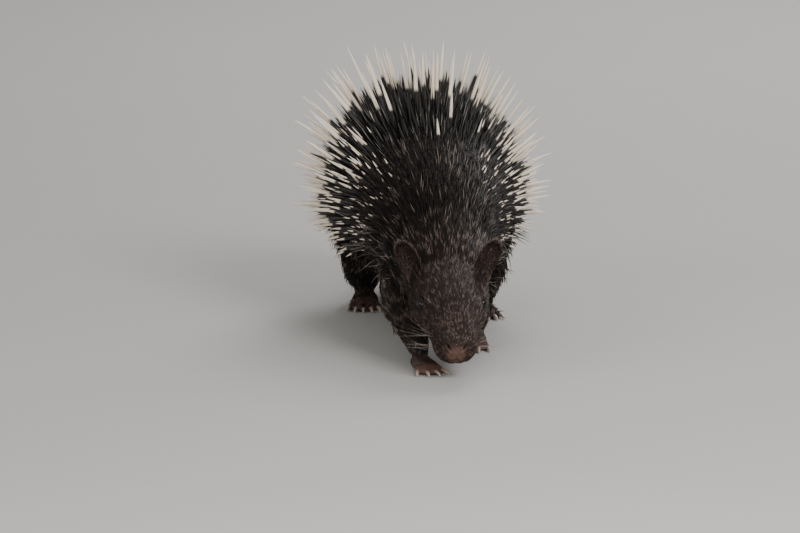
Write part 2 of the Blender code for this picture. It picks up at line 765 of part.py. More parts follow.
def make_tail(coat, others):
    """The short tail, closed in a rounded tip, with its own pale quills."""
    draw = random.Random(SEED + 2)
    places = list(places_between(STATION_AT[TAIL_CUT], TRUNK_LENGTH - TAIL_ROUNDING, 0.012))
    for degrees in (35, 65):
        rounding = TAIL_ROUNDING * (1 - math.sin(math.radians(degrees)))
        places.append(TRUNK_LENGTH - rounding)
    rings = trunk_rings(places, TAIL_SIDES)
    rings.append(trunk(np.array([TRUNK_LENGTH]), np.array([0.0])))
    tail = loft("tail", rings, coat)
    torso_core = loft("core", trunk_rings(torso_places(), TORSO_SIDES))
    trees = [tree_of(t) for t in (*others, torso_core)]
    bpy.data.objects.remove(torso_core)
    roots = root_places(STATION_AT[TAIL_CUT], TRUNK_LENGTH, draw, **TAIL_ROOTS)
    boolean(tail, grow(roots, tail_sizes, QUILL_PROFILE, draw, trees), "UNION")
    tidy(tail)
    return tail


def foot_pieces(ankle, shape, side, inward):
    """Sole and toes of one foot, with the frame of each toe's end for its claw."""
    turn = math.radians(inward) * -side
    ahead = np.array([math.sin(turn), -math.cos(turn), 0.0])
    across = np.array([math.cos(turn), math.sin(turn), 0.0])
    length, half, height = shape["length"], shape["half_width"], shape["height"]
    heel = np.array([ankle[0], ankle[1], 0.0]) - ahead * 0.010
    around = np.linspace(0, 2 * math.pi, 12, endpoint=False)
    rings = []
    for share, wide, high in (
        (0.00, 0.45, 0.55),
        (0.10, 0.72, 0.95),
        (0.40, 0.86, 1.00),
        (0.72, 1.00, 0.86),
        (0.92, 0.90, 0.66),
        (1.00, 0.62, 0.42),
    ):
        middle = heel + ahead * (length * share)
        middle[2] = height * high * 0.5 - SOLE_SINK * 0.5
        ring_width = np.outer(np.cos(around), across * (half * wide))
        ring_height = np.outer(
            np.sin(around), [0, 0, height * high * 0.5 + SOLE_SINK * 0.5]
        )
        rings.append(middle + ring_width + ring_height)
    pieces = [loft("sole", rings)]
    ends = []
    toes = shape["toes"]
    for k in range(toes):
        spread = (k - (toes - 1) / 2) / ((toes - 1) / 2)
        fan = math.radians(17) * spread
        way = ahead * math.cos(fan) + across * math.sin(fan)
        start = heel + ahead * (length * 0.84) + across * (half * 0.72 * spread)
        start = start - ahead * (0.004 * spread**2)
        reach = TOE_LENGTH * (1.0 - 0.16 * spread**2)
        path, radii = [], []
        for share, radius, z in (
            (-0.3, 0.9, 1.0),
            (0.2, 1.0, 1.0),
            (0.7, 1.0, 0.95),
            (1.0, TOE_END_RADIUS / TOE_RADIUS, 0.95),
        ):
            point = start + way * (reach * share)
            point[2] = TOE_RADIUS * z - SOLE_SINK * 0.35
            path.append(point)
            radii.append(TOE_RADIUS * radius)
        pieces.append(tube("toe", path, radii, 7, side_hint=np.cross(way, (0, 0, 1))))
        ends.append((path[-1], way))
    return pieces, ends


def make_claws(name, ends, horn):
    """One curved claw for each toe, a gap away from the toe's flat end."""
    for number, (end, way) in enumerate(ends, 1):
        drop = end[2] - 0.0012
        path, radii = [], []
        for share, radius in ((0.0, 1.0), (0.35, 0.86), (0.7, 0.52), (1.0, 0.0)):
            point = end + way * (GAP + CLAW_LENGTH * share)
            point[2] = end[2] + 0.0006 * math.sin(math.pi * share) - drop * share**2.2
            path.append(point)
            radii.append(CLAW_RADIUS * radius)
        path[1][2] = max(path[1][2], end[2])
        claw = tube(
            f"{name}_claw_{number}", path, radii, 6, horn, np.cross(way, (0, 0, 1)), 0.9
        )
        tidy(claw)


def make_leg(name, joints, foot, side, inward, coat, foot_skin, horn, torso_clearance):
    """Leg and paw, parted at the wrist or ankle, with the leg cut clear of the torso."""
    mirrored = [((p[0] * side, p[1], p[2]), r) for p, r in joints]
    path, radii = smooth_path(mirrored, 8)
    leg = tube(name, path, radii, 12, coat)
    pieces, ends = foot_pieces(path[-1], foot, side, inward)
    boolean(leg, pieces, "UNION")
    cut_flat(leg, (0, 0, 0), (0, 0, -1))
    paw = copy_of(leg, name.replace("leg", "paw"))
    paw.data.materials.clear()
    paw.data.materials.append(foot_skin)
    cut_flat(leg, (0, 0, ANKLE_CUT + GAP / 2), (0, 0, -1))
    cut_flat(paw, (0, 0, ANKLE_CUT - GAP / 2), (0, 0, 1))
    boolean(leg, [torso_clearance], "DIFFERENCE")
    for piece in (leg, paw):
        keep_largest(piece)
        tidy(piece)
    make_claws(paw.name, ends, horn)
    return leg, paw


def body_space():
    """The neck's and torso's bodies, a gap larger, to cut the legs with."""
    rings = trunk_rings(neck_places(), TORSO_SIDES, GAP)
    rings += trunk_rings(torso_places(), TORSO_SIDES, GAP)
    return loft("body_space", rings)


def centre_on_floor():
    """Moves everything so that the origin is under the middle of the whole box."""
    things = [o for o in bpy.context.scene.objects if o.type == "MESH"]
    corners = np.array([v.co for o in things for v in o.data.vertices])
    middle = (corners.min(axis=0) + corners.max(axis=0)) / 2
    shift = Matrix.Translation((-middle[0], -middle[1], 0))
    for thing in things:
        thing.data.transform(shift)


def main():
    for old in list(bpy.data.objects):
        bpy.data.objects.remove(old)
    coat = material("quill_coat", BLACK_BROWN, 0.6)
    fur = material("dark_fur", DARK_BROWN, 0.8)
    face = material("face_fur", FACE_BROWN, 0.8)
    foot_skin = material("foot_skin", FACE_BROWN, 0.7)
    horn = material("claw_horn", HORN_GREY, 0.4)
    black = material("eye_black", EYE_BLACK, 0.05)
    head = make_head(face)
    ears, legs = [], []
    for side, word in ((1, "left"), (-1, "right")):
        make_eye(f"eye_{word}", side, black)
        ears.append(make_ear(f"ear_{word}", side, fur))
    steps = (
        ("foreleg_left", FORELEG_BACK, FORE_FOOT, 1, 8),
        ("foreleg_right", FORELEG_FORWARD, FORE_FOOT, -1, 10),
        ("hindleg_left", HINDLEG_FORWARD, HIND_FOOT, 1, -6),
        ("hindleg_right", HINDLEG_BACK, HIND_FOOT, -1, -6),
    )
    for name, joints, foot, side, inward in steps:
        legs += make_leg(name, joints, foot, side, inward, fur, foot_skin, horn, body_space())
    neck = make_neck(fur, [head, *ears, *legs])
    tail = make_tail(coat, legs)
    make_torso(coat, [head, *ears, neck, tail, *legs])
    centre_on_floor()


main()
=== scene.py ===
"""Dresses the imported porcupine: skin, short fur, bristles, quills, claws, eyes and whiskers.

All sizes are in metres. The body is worked out in its own coordinates, with the tip of
the nose near y = 0 and the midline at x = 0, and every piece is then moved by the one
offset that brings the body's eyes onto the frame's eyes.
"""

import json
import math

import bmesh
import bpy
import numpy as np
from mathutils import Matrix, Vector

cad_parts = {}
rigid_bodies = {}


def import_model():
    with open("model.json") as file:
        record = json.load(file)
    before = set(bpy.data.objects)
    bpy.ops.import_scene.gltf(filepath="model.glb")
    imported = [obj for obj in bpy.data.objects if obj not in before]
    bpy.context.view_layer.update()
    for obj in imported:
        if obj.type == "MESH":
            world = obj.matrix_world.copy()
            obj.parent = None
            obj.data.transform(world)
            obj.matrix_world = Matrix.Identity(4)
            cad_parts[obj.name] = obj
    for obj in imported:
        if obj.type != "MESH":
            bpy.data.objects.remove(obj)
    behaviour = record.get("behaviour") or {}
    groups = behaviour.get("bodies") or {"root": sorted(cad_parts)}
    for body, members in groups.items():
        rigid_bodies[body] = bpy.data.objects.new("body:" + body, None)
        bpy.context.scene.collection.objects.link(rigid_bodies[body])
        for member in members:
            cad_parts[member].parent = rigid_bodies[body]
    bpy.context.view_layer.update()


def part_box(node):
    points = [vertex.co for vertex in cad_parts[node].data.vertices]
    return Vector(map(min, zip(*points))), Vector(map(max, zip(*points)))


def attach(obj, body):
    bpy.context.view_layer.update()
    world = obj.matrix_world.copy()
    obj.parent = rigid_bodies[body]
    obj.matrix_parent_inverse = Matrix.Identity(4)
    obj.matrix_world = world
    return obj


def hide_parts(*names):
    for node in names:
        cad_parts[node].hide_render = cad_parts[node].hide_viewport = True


bl_info = {
    "name": "Walking porcupine",
    "version": (1, 0, 0),
    "blender": (4, 5, 0),
    "location": "3D View > Sidebar > Porcupine",
    "description": "Builds the porcupine's skin, coat, quills and stage round its solids",
    "category": "Object",
}

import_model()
SEED = 11

# Each station of the trunk: y and z of its middle, half width, height above the
# middle, depth below it, and squareness (2 is an ellipse, more is boxier).
TRUNK = {
    "nose": (0.000, 0.0290, 0.0150, 0.0160, 0.0150, 2.4),
    "muzzle": (0.013, 0.0338, 0.0188, 0.0215, 0.0195, 2.4),
    "snout": (0.032, 0.0430, 0.0228, 0.0270, 0.0240, 2.3),
    "eyes": (0.057, 0.0545, 0.0325, 0.0312, 0.0285, 2.2),
    "cheek": (0.082, 0.0640, 0.0360, 0.0335, 0.0325, 2.1),
    "occiput": (0.104, 0.0720, 0.0380, 0.0360, 0.0355, 2.0),
    "nape": (0.128, 0.0815, 0.0410, 0.0405, 0.0400, 2.0),
    "neck": (0.158, 0.0915, 0.0460, 0.0470, 0.0465, 2.0),
    "shoulder": (0.200, 0.1010, 0.0515, 0.0555, 0.0530, 2.1),
    "chest": (0.245, 0.1060, 0.0585, 0.0620, 0.0580, 2.1),
    "back": (0.300, 0.1090, 0.0660, 0.0670, 0.0600, 2.1),
    "loin": (0.360, 0.1100, 0.0710, 0.0680, 0.0610, 2.1),
    "rump": (0.415, 0.1060, 0.0670, 0.0610, 0.0550, 2.1),
    "haunch": (0.460, 0.0980, 0.0500, 0.0460, 0.0430, 2.0),
    "tail_root": (0.492, 0.0890, 0.0270, 0.0250, 0.0240, 2.0),
    "tail_middle": (0.535, 0.0750, 0.0165, 0.0155, 0.0155, 2.0),
    "tail_end": (0.575, 0.0640, 0.0110, 0.0105, 0.0105, 2.0),
}
NOSE_ROUNDING = 0.011
TAIL_ROUNDING = 0.010
# How deep the short fur is, so how far the skin lies inside the solids.
FUR_DEPTH = {
    "nose": 0.0003,
    "muzzle": 0.0008,
    "snout": 0.0012,
    "eyes": 0.0016,
    "cheek": 0.0024,
    "occiput": 0.0026,
    "nape": 0.0015,
    "neck": 0.0012,
    "tail_end": 0.0012,
}
# Swellings of the head: station, degrees from the top, height, reach along the
# body and reach round it in degrees. Each is on both sides.
SWELLINGS = (
    ("muzzle", 108, 0.0022, 0.012, 30),
    ("nose", 46, 0.0013, 0.007, 24),
    ("eyes", 38, 0.0018, 0.012, 20),
    ("cheek", 112, 0.0024, 0.020, 28),
)

EYE_STATION = "eyes"
EYE_DEGREES = 68
EYE_DEPTH = 0.0028
EYE_RADIUS = 0.0052
# How far the eyes look forwards of straight out of the head: the tangent of the angle.
EYE_FORWARD = 0.34
LID_HALF_LENGTH = 0.0046
LID_HALF_HEIGHT = 0.0038

EAR_STATION = "occiput"
EAR_DEGREES = 59
EAR_FORWARD = 0.006
EAR_LENGTH = 0.033
EAR_HALF_WIDTH = 0.0140
EAR_HOLLOW = 0.0070
EAR_WALL = 0.0014

NOSTRIL_PLACE = 0.13
NOSTRIL_DEGREES = 66
NOSTRIL_LEAN = 34
NOSTRIL_HALF_LENGTH = 0.0034
NOSTRIL_HALF_WIDTH = 0.0011
# The bare end of the nose: height of its middle, half width and half height.
BARE_NOSE = (0.0258, 0.0096, 0.0080)
MOUTH_FRONT = 0.22
MOUTH_CORNER = 0.86
MOUTH_RISE = 62
# Depth and width of the grooves pressed into the face, and height, distance from the
# mouth and width of the lips' roll.
MOUTH_GROOVE = (0.0022, 0.0010)
LIP_ROLL = (0.0007, 0.0028, 0.0014)
CLEFT_GROOVE = (0.0013, 0.0008)
NOSTRIL_DEPTH = 0.0036
NOSTRIL_RIM = 0.0009
SOCKET_DEPTH = 0.0042
BROW_RISE = 0.0007
CORNEA_BULGE = 0.0005

# Legs: joints from the body to the wrist or ankle, each with its radius, on the
# animal's left side (x is mirrored for the right side).
FORELEG_BACK = (
    ((0.020, 0.200, 0.095), 0.031),
    ((0.037, 0.207, 0.064), 0.024),
    ((0.040, 0.220, 0.045), 0.0165),
    ((0.036, 0.204, 0.018), 0.0115),
    ((0.036, 0.197, 0.009), 0.0080),
)
FORELEG_FORWARD = (
    ((0.020, 0.182, 0.094), 0.031),
    ((0.037, 0.160, 0.066), 0.024),
    ((0.041, 0.142, 0.049), 0.0165),
    ((0.030, 0.086, 0.020), 0.0115),
    ((0.028, 0.077, 0.009), 0.0080),
)
HINDLEG_FORWARD = (
    ((0.034, 0.386, 0.098), 0.040),
    ((0.050, 0.364, 0.070), 0.033),
    ((0.056, 0.350, 0.047), 0.0225),
    ((0.053, 0.384, 0.018), 0.0130),
    ((0.053, 0.380, 0.009), 0.0085),
)
HINDLEG_BACK = (
    ((0.034, 0.402, 0.098), 0.040),
    ((0.050, 0.398, 0.070), 0.033),
    ((0.056, 0.402, 0.047), 0.0225),
    ((0.053, 0.438, 0.018), 0.0130),
    ((0.053, 0.434, 0.009), 0.0085),
)
FORE_FOOT = {"length": 0.046, "half_width": 0.0125, "height": 0.0125, "toes": 4}
HIND_FOOT = {"length": 0.060, "half_width": 0.0140, "height": 0.0130, "toes": 5}
# Each leg: its joints, foot, side (1 is left) and the degrees its toes turn inwards.
LEGS = {
    "foreleg_left": (FORELEG_BACK, FORE_FOOT, 1, 8),
    "foreleg_right": (FORELEG_FORWARD, FORE_FOOT, -1, 10),
    "hindleg_left": (HINDLEG_FORWARD, HIND_FOOT, 1, -6),
    "hindleg_right": (HINDLEG_BACK, HIND_FOOT, -1, -6),
}
LEG_FUR_DEPTH = 0.0018
TOE_LENGTH = 0.013
TOE_RADIUS = 0.0040
TOE_END_RADIUS = 0.0032
CLAW_LENGTH = 0.0125
CLAW_RADIUS = 0.0023
SOLE_SINK = 0.0022

# Points down a leg's line and along a sole, where a place on the body is looked up.
LEG_STEPS = 40
SOLE_STEPS = 24
SKIN_VOXEL = 0.0024
FLOOR_GAP = 0.0003
BAKE_PATCH = 0.003

# The coat, by place along the torso: 0 at the neck's end and 1 at the tail's root.
QUILL_PLACE = (0.16, 0.32, 0.48, 0.66, 0.84, 1.00)
QUILL_LENGTH = (0.036, 0.060, 0.102, 0.121, 0.108, 0.070)
QUILL_LIFT = (18, 34, 52, 58, 54, 42)
# How lengths fall off, by degrees from the top of the back to the belly.
ROUND_DEGREES = (0, 25, 50, 90, 120, 150, 180)
ROUND_SHARE = (1.0, 0.97, 0.80, 0.57, 0.36, 0.20, 0.16)
# How far apart quills stand along the body and round it.
BACK_SPACING = (0.0108, 0.0117)
BLACK_SPACING = (0.0092, 0.0105)
FLANK_SPACING = (0.0072, 0.0080)
TAIL_SPACING = (0.0075, 0.0085)
# How many tufts each part of the coat has at full fullness.
TUFTS = {
    "face": 33000,
    "head": 16000,
    "legs": 18000,
    "ears": 4200,
    "neck": 15000,
    "flanks": 14500,
    "spines": 15000,
}


def smooth_curve(known_x, known_y, x):
    """A smooth curve through (known_x, known_y), one column at a time.

    Between two known places it is the cubic h00 y0 + h10 m0 + h01 y1 + h11 m1, with
    the slopes m taken from the neighbours on both sides.
    """
    slopes = np.gradient(known_y, known_x, axis=0)
    i = np.clip(np.searchsorted(known_x, x) - 1, 0, len(known_x) - 2)
    step = (known_x[i + 1] - known_x[i])[:, None]
    t = (x - known_x[i])[:, None] / step
    return (
        (2 * t**3 - 3 * t**2 + 1) * known_y[i]
        + (t**3 - 2 * t**2 + t) * step * slopes[i]
        + (3 * t**2 - 2 * t**3) * known_y[i + 1]
        + (t**3 - t**2) * step * slopes[i + 1]
    )


def unit(vectors):
    """Vectors at length 1."""
    length = np.linalg.norm(vectors, axis=-1, keepdims=True)
    return vectors / np.maximum(length, 1e-12)


def smooth_step(low, high, value):
    """0 below low, 1 above high, and 3t^2 - 2t^3 between them."""
    t = np.clip((value - low) / (high - low), 0, 1)
    return t * t * (3 - 2 * t)


STATION_ROWS = np.array(list(TRUNK.values()))
STATION_S = np.concatenate(
    [[0], np.cumsum(np.hypot(*np.diff(STATION_ROWS[:, :2], axis=0).T))]
)
AT = dict(zip(TRUNK, STATION_S))
TRUNK_LENGTH = STATION_S[-1]


def by_station(table, s):
    """Values of a table of station: value at distances s along the trunk."""
    return np.interp(s, [AT[name] for name in table], list(table.values()))


def trunk_frame(s):
    """Middle, way along, way up and the station row of the trunk at distances s."""
    row = smooth_curve(STATION_S, STATION_ROWS, s)
    ahead = smooth_curve(STATION_S, STATION_ROWS, np.clip(s + 0.002, 0, TRUNK_LENGTH))
    behind = smooth_curve(STATION_S, STATION_ROWS, np.clip(s - 0.002, 0, TRUNK_LENGTH))
    run = unit(ahead[:, :2] - behind[:, :2])
    nought = np.zeros(len(s))
    middle = np.column_stack([nought, row[:, 0], row[:, 1]])
    along = np.column_stack([nought, run[:, 0], run[:, 1]])
    up = np.column_stack([nought, -run[:, 1], run[:, 0]])
    return middle, along, up, row


def trunk_point(s, angle, out=0.0):
    """The trunk's surface at distance s along it and an angle from its top, in radians.

    Across the body x = |sin a|^(2/p) (half width + out), and up it
    h = |cos a|^(2/p) (half height + out), with the signs of sin a and cos a and the
    squareness p. Both shrink as a quarter circle at the nose and the tail.
    """
    s, angle, out = np.broadcast_arrays(np.asarray(s, float), angle, out)
    shape = s.shape
    s, angle, out = s.ravel(), angle.ravel(), out.ravel()
    middle, _, up, row = trunk_frame(s)
    nose = np.clip(1 - s / NOSE_ROUNDING, 0, 1)
    tail = np.clip(1 - (TRUNK_LENGTH - s) / TAIL_ROUNDING, 0, 1)
    closing = np.sqrt(np.clip(1 - nose**2, 0, 1) * np.clip(1 - tail**2, 0, 1))
    swell = np.zeros(len(s))
    for station, degrees, height, along, round_ in SWELLINGS:
        off = np.degrees(np.abs(angle)) - degrees
        swell += height * np.exp(-(((s - AT[station]) / along) ** 2) - (off / round_) ** 2)
    power = 2 / row[:, 5]
    across, rise = np.sin(angle), np.cos(angle)
    half = np.where(rise > 0, row[:, 3], row[:, 4])
    x = np.sign(across) * np.abs(across) ** power * (row[:, 2] + swell + out) * closing
    h = np.sign(rise) * np.abs(rise) ** power * (half + swell + out) * closing
    points = middle + up * h[:, None] + np.column_stack([x, x * 0, x * 0])
    return points.reshape(*shape, 3)


def trunk_normals(s, angle):
    """Outward normals and ways to the tail at many places on the trunk.

    The way to the tail and the way round are differences of the surface over a small step,
    and the normal is their cross product, turned outwards.
    """
    back = unit(trunk_point(s + 0.002, angle) - trunk_point(s - 0.002, angle))
    side = trunk_point(s, angle + 0.05) - trunk_point(s, angle - 0.05)
    normal = unit(np.cross(back, side))
    outward = trunk_point(s, angle) - trunk_frame(s)[0]
    return normal * np.sign((normal * outward).sum(axis=1))[:, None], back


def trunk_normal(s, angle):
    """Outward normal and way to the tail at one place on the trunk."""
    normals, back = trunk_normals(np.array([s]), np.array([angle]))
    return normals[0], back[0]


def eye_frame(side):
    """Middle of the eyeball, with the ways out of the head, to the tail and up."""
    angle = side * math.radians(EYE_DEGREES)
    normal, back = trunk_normal(AT[EYE_STATION], angle)
    middle = trunk_point(AT[EYE_STATION], angle) - normal * EYE_DEPTH
    normal, back = unit(normal - back * EYE_FORWARD), unit(back + normal * EYE_FORWARD)
    up = unit(np.cross(normal, back) * side)
    return middle, normal, back, up * np.sign(up[2])


def frame_offset():
    """How far the body's own coordinates are moved: its eyes go onto the frame's eyes."""
    found = []
    for side, word in ((1, "left"), (-1, "right")):
        low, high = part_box(f"eye_{word}")
        found.append(np.array(low.lerp(high, 0.5)) - eye_frame(side)[0])
    offset = np.mean(found, axis=0)
    offset[2] = 0
    return offset


OFFSET = frame_offset()


def closed_grid(rings):
    """Points and faces of a closed solid round a grid of rings, with a pole at each end.

    rings has one row of points for each place along, and its columns run round.
    """
    rows, columns = rings.shape[:2]
    points = np.concatenate(
        [rings.reshape(-1, 3), rings[:1].mean(axis=1), rings[-1:].mean(axis=1)]
    )
    i, j = np.meshgrid(np.arange(rows - 1), np.arange(columns), indexing="ij")
    i, j = i.ravel(), j.ravel()
    k = (j + 1) % columns
    quads = np.column_stack(
        [i * columns + j, i * columns + k, (i + 1) * columns + k, (i + 1) * columns + j]
    )
    j = np.arange(columns)
    k = (j + 1) % columns
    first, last = rows * columns, rows * columns + 1
    end = (rows - 1) * columns
    poles = np.concatenate(
        [
            np.column_stack([k, j, np.full(columns, first)]),
            np.column_stack([end + j, end + k, np.full(columns, last)]),
        ]
    )
    return points, quads, poles


def new_mesh(name, points, *faces):
    """A mesh from points and arrays of faces, each array with one count of corners."""
    mesh = bpy.data.meshes.new(name)
    corners = np.concatenate([f.ravel() for f in faces])
    counts = np.concatenate([np.full(len(f), f.shape[1]) for f in faces])
    mesh.vertices.add(len(points))
    mesh.vertices.foreach_set("co", np.asarray(points, np.float32).ravel())
    mesh.loops.add(len(corners))
    mesh.loops.foreach_set("vertex_index", corners.astype(np.int32))
    mesh.polygons.add(len(counts))
    starts = np.concatenate([[0], np.cumsum(counts)[:-1]])
    mesh.polygons.foreach_set("loop_start", starts.astype(np.int32))
    mesh.update(calc_edges=True)
    mesh.validate()
    return mesh


def joined(parts):
    """Points, quads and triangles of several closed grids as one set."""
    points, quads, triangles, start = [], [], [], 0
    for part_points, part_quads, part_triangles in parts:
        points.append(part_points)
        quads.append(part_quads + start)
        triangles.append(part_triangles + start)
        start += len(part_points)
    return np.concatenate(points), np.concatenate(quads), np.concatenate(triangles)


def new_object(name, mesh):
    """An object of that mesh, linked to the scene."""
    made = bpy.data.objects.new(name, mesh)
    bpy.context.scene.collection.objects.link(made)
    return made


def set_values(mesh, name, values):
    """Stores one number for each point of a mesh, for its material to read."""
    store = mesh.attributes.new(name, "FLOAT", "POINT")
    store.data.foreach_set("value", np.asarray(values, np.float32))


def finish_piece(made, finish, replaced=()):
    """Gives a piece its material, moves it onto the frame and lets it ride there."""
    points = points_of(made.data) + OFFSET
    made.data.vertices.foreach_set("co", points.astype(np.float32).ravel())
    made.data.update()
    made.data.materials.append(finish)
    made.data.polygons.foreach_set("use_smooth", np.ones(len(made.data.polygons), bool))
    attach(made, "root")
    if replaced:
        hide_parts(*replaced)


def points_of(mesh):
    """The mesh's points as rows of x, y and z."""
    points = np.empty(len(mesh.vertices) * 3)
    mesh.vertices.foreach_get("co", points)
    return points.reshape(-1, 3)


def normals_of(mesh):
    """The normals at the mesh's points, as rows."""
    normals = np.empty(len(mesh.vertices) * 3)
    mesh.vertex_normals.foreach_get("vector", normals)
    return normals.reshape(-1, 3)


def applied(made):
    """Replaces the object's mesh by its evaluated one and drops its modifiers."""
    bpy.context.view_layer.update()
    graph = bpy.context.evaluated_depsgraph_get()
    mesh = bpy.data.meshes.new_from_object(made.evaluated_get(graph))
    made.modifiers.clear()
    made.data = mesh


def smooth_path(joints, side, count):
    """Points and radii along a smooth curve through a leg's joints."""
    rows = np.array([[side * p[0], p[1], p[2], r] for p, r in joints])
    run = np.concatenate(
        [[0], np.cumsum(np.linalg.norm(np.diff(rows[:, :3], axis=0), axis=1))]
    )
    found = smooth_curve(run, rows, np.linspace(0, run[-1], count))
    return found[:, :3], found[:, 3]


def tube(path, radii, sides, across, flat=1.0):
    """Rings round a path: radius (cos b A + flat sin b B), with B square to path and A.

    A is the way across, made square to the path at each point.
    """
    path = np.asarray(path, float)
    run = unit(np.gradient(path, axis=0))
    a = np.broadcast_to(np.asarray(across, float), path.shape)
    a = unit(a - run * (a * run).sum(axis=1)[:, None])
    b = np.cross(run, a)
    around = np.linspace(0, 2 * math.pi, sides, endpoint=False)[None, :, None]
    round_ = a[:, None] * np.cos(around) + b[:, None] * flat * np.sin(around)
    return path[:, None] + round_ * np.asarray(radii, float)[:, None, None]


def rounded_ends(path, radii, steps=5):
    """Adds a half ball to both ends of a path and its radii."""
    turn = np.linspace(0.08, 0.5 * math.pi, steps, endpoint=False)
    first, last = unit(path[0] - path[1]), unit(path[-1] - path[-2])
    before = path[0] + first * (radii[0] * np.cos(turn))[:, None]
    after = path[-1] + last * (radii[-1] * np.cos(turn[::-1]))[:, None]
    path = np.concatenate([before, path, after])
    radii = np.concatenate([radii[0] * np.sin(turn), radii, radii[-1] * np.sin(turn[::-1])])
    return path, radii


def foot_ways(name):
    """The ways ahead and across of a foot, and its heel on the floor."""
    joints, _, side, inward = LEGS[name]
    turn = -side * math.radians(inward)
    ahead = np.array([math.sin(turn), -math.cos(turn), 0.0])
    across = np.array([math.cos(turn), math.sin(turn), 0.0])
    ankle = smooth_path(joints, side, 8)[0][-1]
    heel = np.array([ankle[0], ankle[1], 0.0]) - ahead * 0.010
    return ahead, across, heel


def toe_paths(name):
    """Each toe of a foot as (path, radii, way), from the foot out to the claw."""
    foot = LEGS[name][1]
    ahead, across, heel = foot_ways(name)
    made = []
    for k in range(foot["toes"]):
        spread = (k - (foot["toes"] - 1) / 2) / ((foot["toes"] - 1) / 2)
        fan = math.radians(17) * spread
        way = ahead * math.cos(fan) + across * math.sin(fan)
        start = heel + ahead * (foot["length"] * 0.84)
        start = start + across * (foot["half_width"] * 0.72 * spread) - ahead * (0.004 * spread**2)
        reach = TOE_LENGTH * (1.0 - 0.16 * spread**2)
        share = np.array([-0.3, 0.2, 0.7, 1.0])
        path = start + way * (reach * share)[:, None]
        path[:, 2] = TOE_RADIUS * np.array([1.0, 1.05, 0.95, 0.90]) - SOLE_SINK * 0.30
        radii = np.array([TOE_RADIUS * 0.9, TOE_RADIUS, TOE_RADIUS * 0.98, TOE_END_RADIUS])
        made.append((path, radii, way))
    return made


def sole_rings(name):
    """Rings of a foot from heel to toes, each an ellipse that sinks under the floor."""
    foot = LEGS[name][1]
    ahead, across, heel = foot_ways(name)
    share = np.array([0.00, 0.10, 0.25, 0.40, 0.56, 0.72, 0.92, 1.00])
    wide = np.array([0.45, 0.72, 0.80, 0.86, 0.93, 1.00, 0.90, 0.62])
    high = np.array([0.55, 0.95, 1.00, 1.00, 0.94, 0.86, 0.66, 0.42])
    middle = heel + ahead * (foot["length"] * share)[:, None]
    middle[:, 2] = foot["height"] * high * 0.5 - SOLE_SINK * 0.5
    around = np.linspace(0, 2 * math.pi, 24, endpoint=False)[None, :, None]
    half = foot["half_width"] * wide
    rise = foot["height"] * high * 0.5 + SOLE_SINK * 0.5
    up = np.array([0.0, 0.0, 1.0])
    rings = middle[:, None] + np.cos(around) * across * half[:, None, None]
    return rings - np.sin(around) * up * rise[:, None, None]


def mouth_path():
    """Points along the line of the mouth, from one corner round the front to the other."""
    share = np.linspace(-1, 1, 61)
    front, corner = NOSE_ROUNDING * MOUTH_FRONT, AT["snout"] * MOUTH_CORNER
    s = front + (corner - front) * np.abs(share) ** 1.5
    return trunk_point(s, math.pi - share * math.radians(MOUTH_RISE))


def cleft_path():
    """Points down the cleft of the upper lip."""
    s = NOSE_ROUNDING * np.linspace(NOSTRIL_PLACE * 0.5, MOUTH_FRONT, 9)
    return trunk_point(s, np.full(9, math.pi))


def nearest(points, path, block=8000):
    """Distance from each point to the nearest point of a path, and its number.

    The square of the distance between p and q is p.p + q.q - 2 p.q.
    """
    distance, number = np.empty(len(points)), np.empty(len(points), int)
    squares = (path**2).sum(axis=1)
    for start in range(0, len(points), block):
        some = points[start : start + block]
        apart = (some**2).sum(axis=1)[:, None] + squares - 2 * some @ path.T
        number[start : start + block] = apart.argmin(axis=1)
        distance[start : start + block] = np.sqrt(np.maximum(apart.min(axis=1), 0))
    return distance, number


def shape_face(points, normals):
    """The skin's points with sockets, nostrils, mouth and lip cleft pressed into them.

    Each form moves a point along its normal by a bell curve exp(-(d / width)^2) of its
    distance d from the form's line or middle, and lips and rims rise beside the dent.
    """
    move = np.zeros(len(points))
    near = np.flatnonzero(points[:, 1] < 0.05)
    d = nearest(points[near], mouth_path())[0]
    move[near] -= MOUTH_GROOVE[0] * np.exp(-((d / MOUTH_GROOVE[1]) ** 2))
    move[near] += LIP_ROLL[0] * np.exp(-(((d - LIP_ROLL[1]) / LIP_ROLL[2]) ** 2))
    d = nearest(points[near], cleft_path())[0]
    move[near] -= CLEFT_GROOVE[0] * np.exp(-((d / CLEFT_GROOVE[1]) ** 2))
    r = from_nostrils(points[near])
    front = smooth_step(0.014, 0.006, points[near, 1])
    move[near] -= front * NOSTRIL_DEPTH * np.exp(-(r**2))
    move[near] += front * NOSTRIL_RIM * np.exp(-(((r - 1.9) / 0.7) ** 2))
    moved = points + normals * move[:, None]
    for side in (-1, 1):
        middle, normal, back, up = eye_frame(side)
        q = points - middle
        r = np.hypot(q @ back / LID_HALF_LENGTH, q @ up / LID_HALF_HEIGHT)
        facing = (q @ normal > -0.004) & (r < 3)
        sink = np.where(facing, 1 - smooth_step(1.1, 2.0, r), 0)
        moved -= normal * (SOCKET_DEPTH * sink)[:, None]
        brow = np.where(facing, np.exp(-(((r - 2.1) / 0.45) ** 2)) * (q @ up > 0), 0)
        moved += normal * (BROW_RISE * brow)[:, None]
    return moved


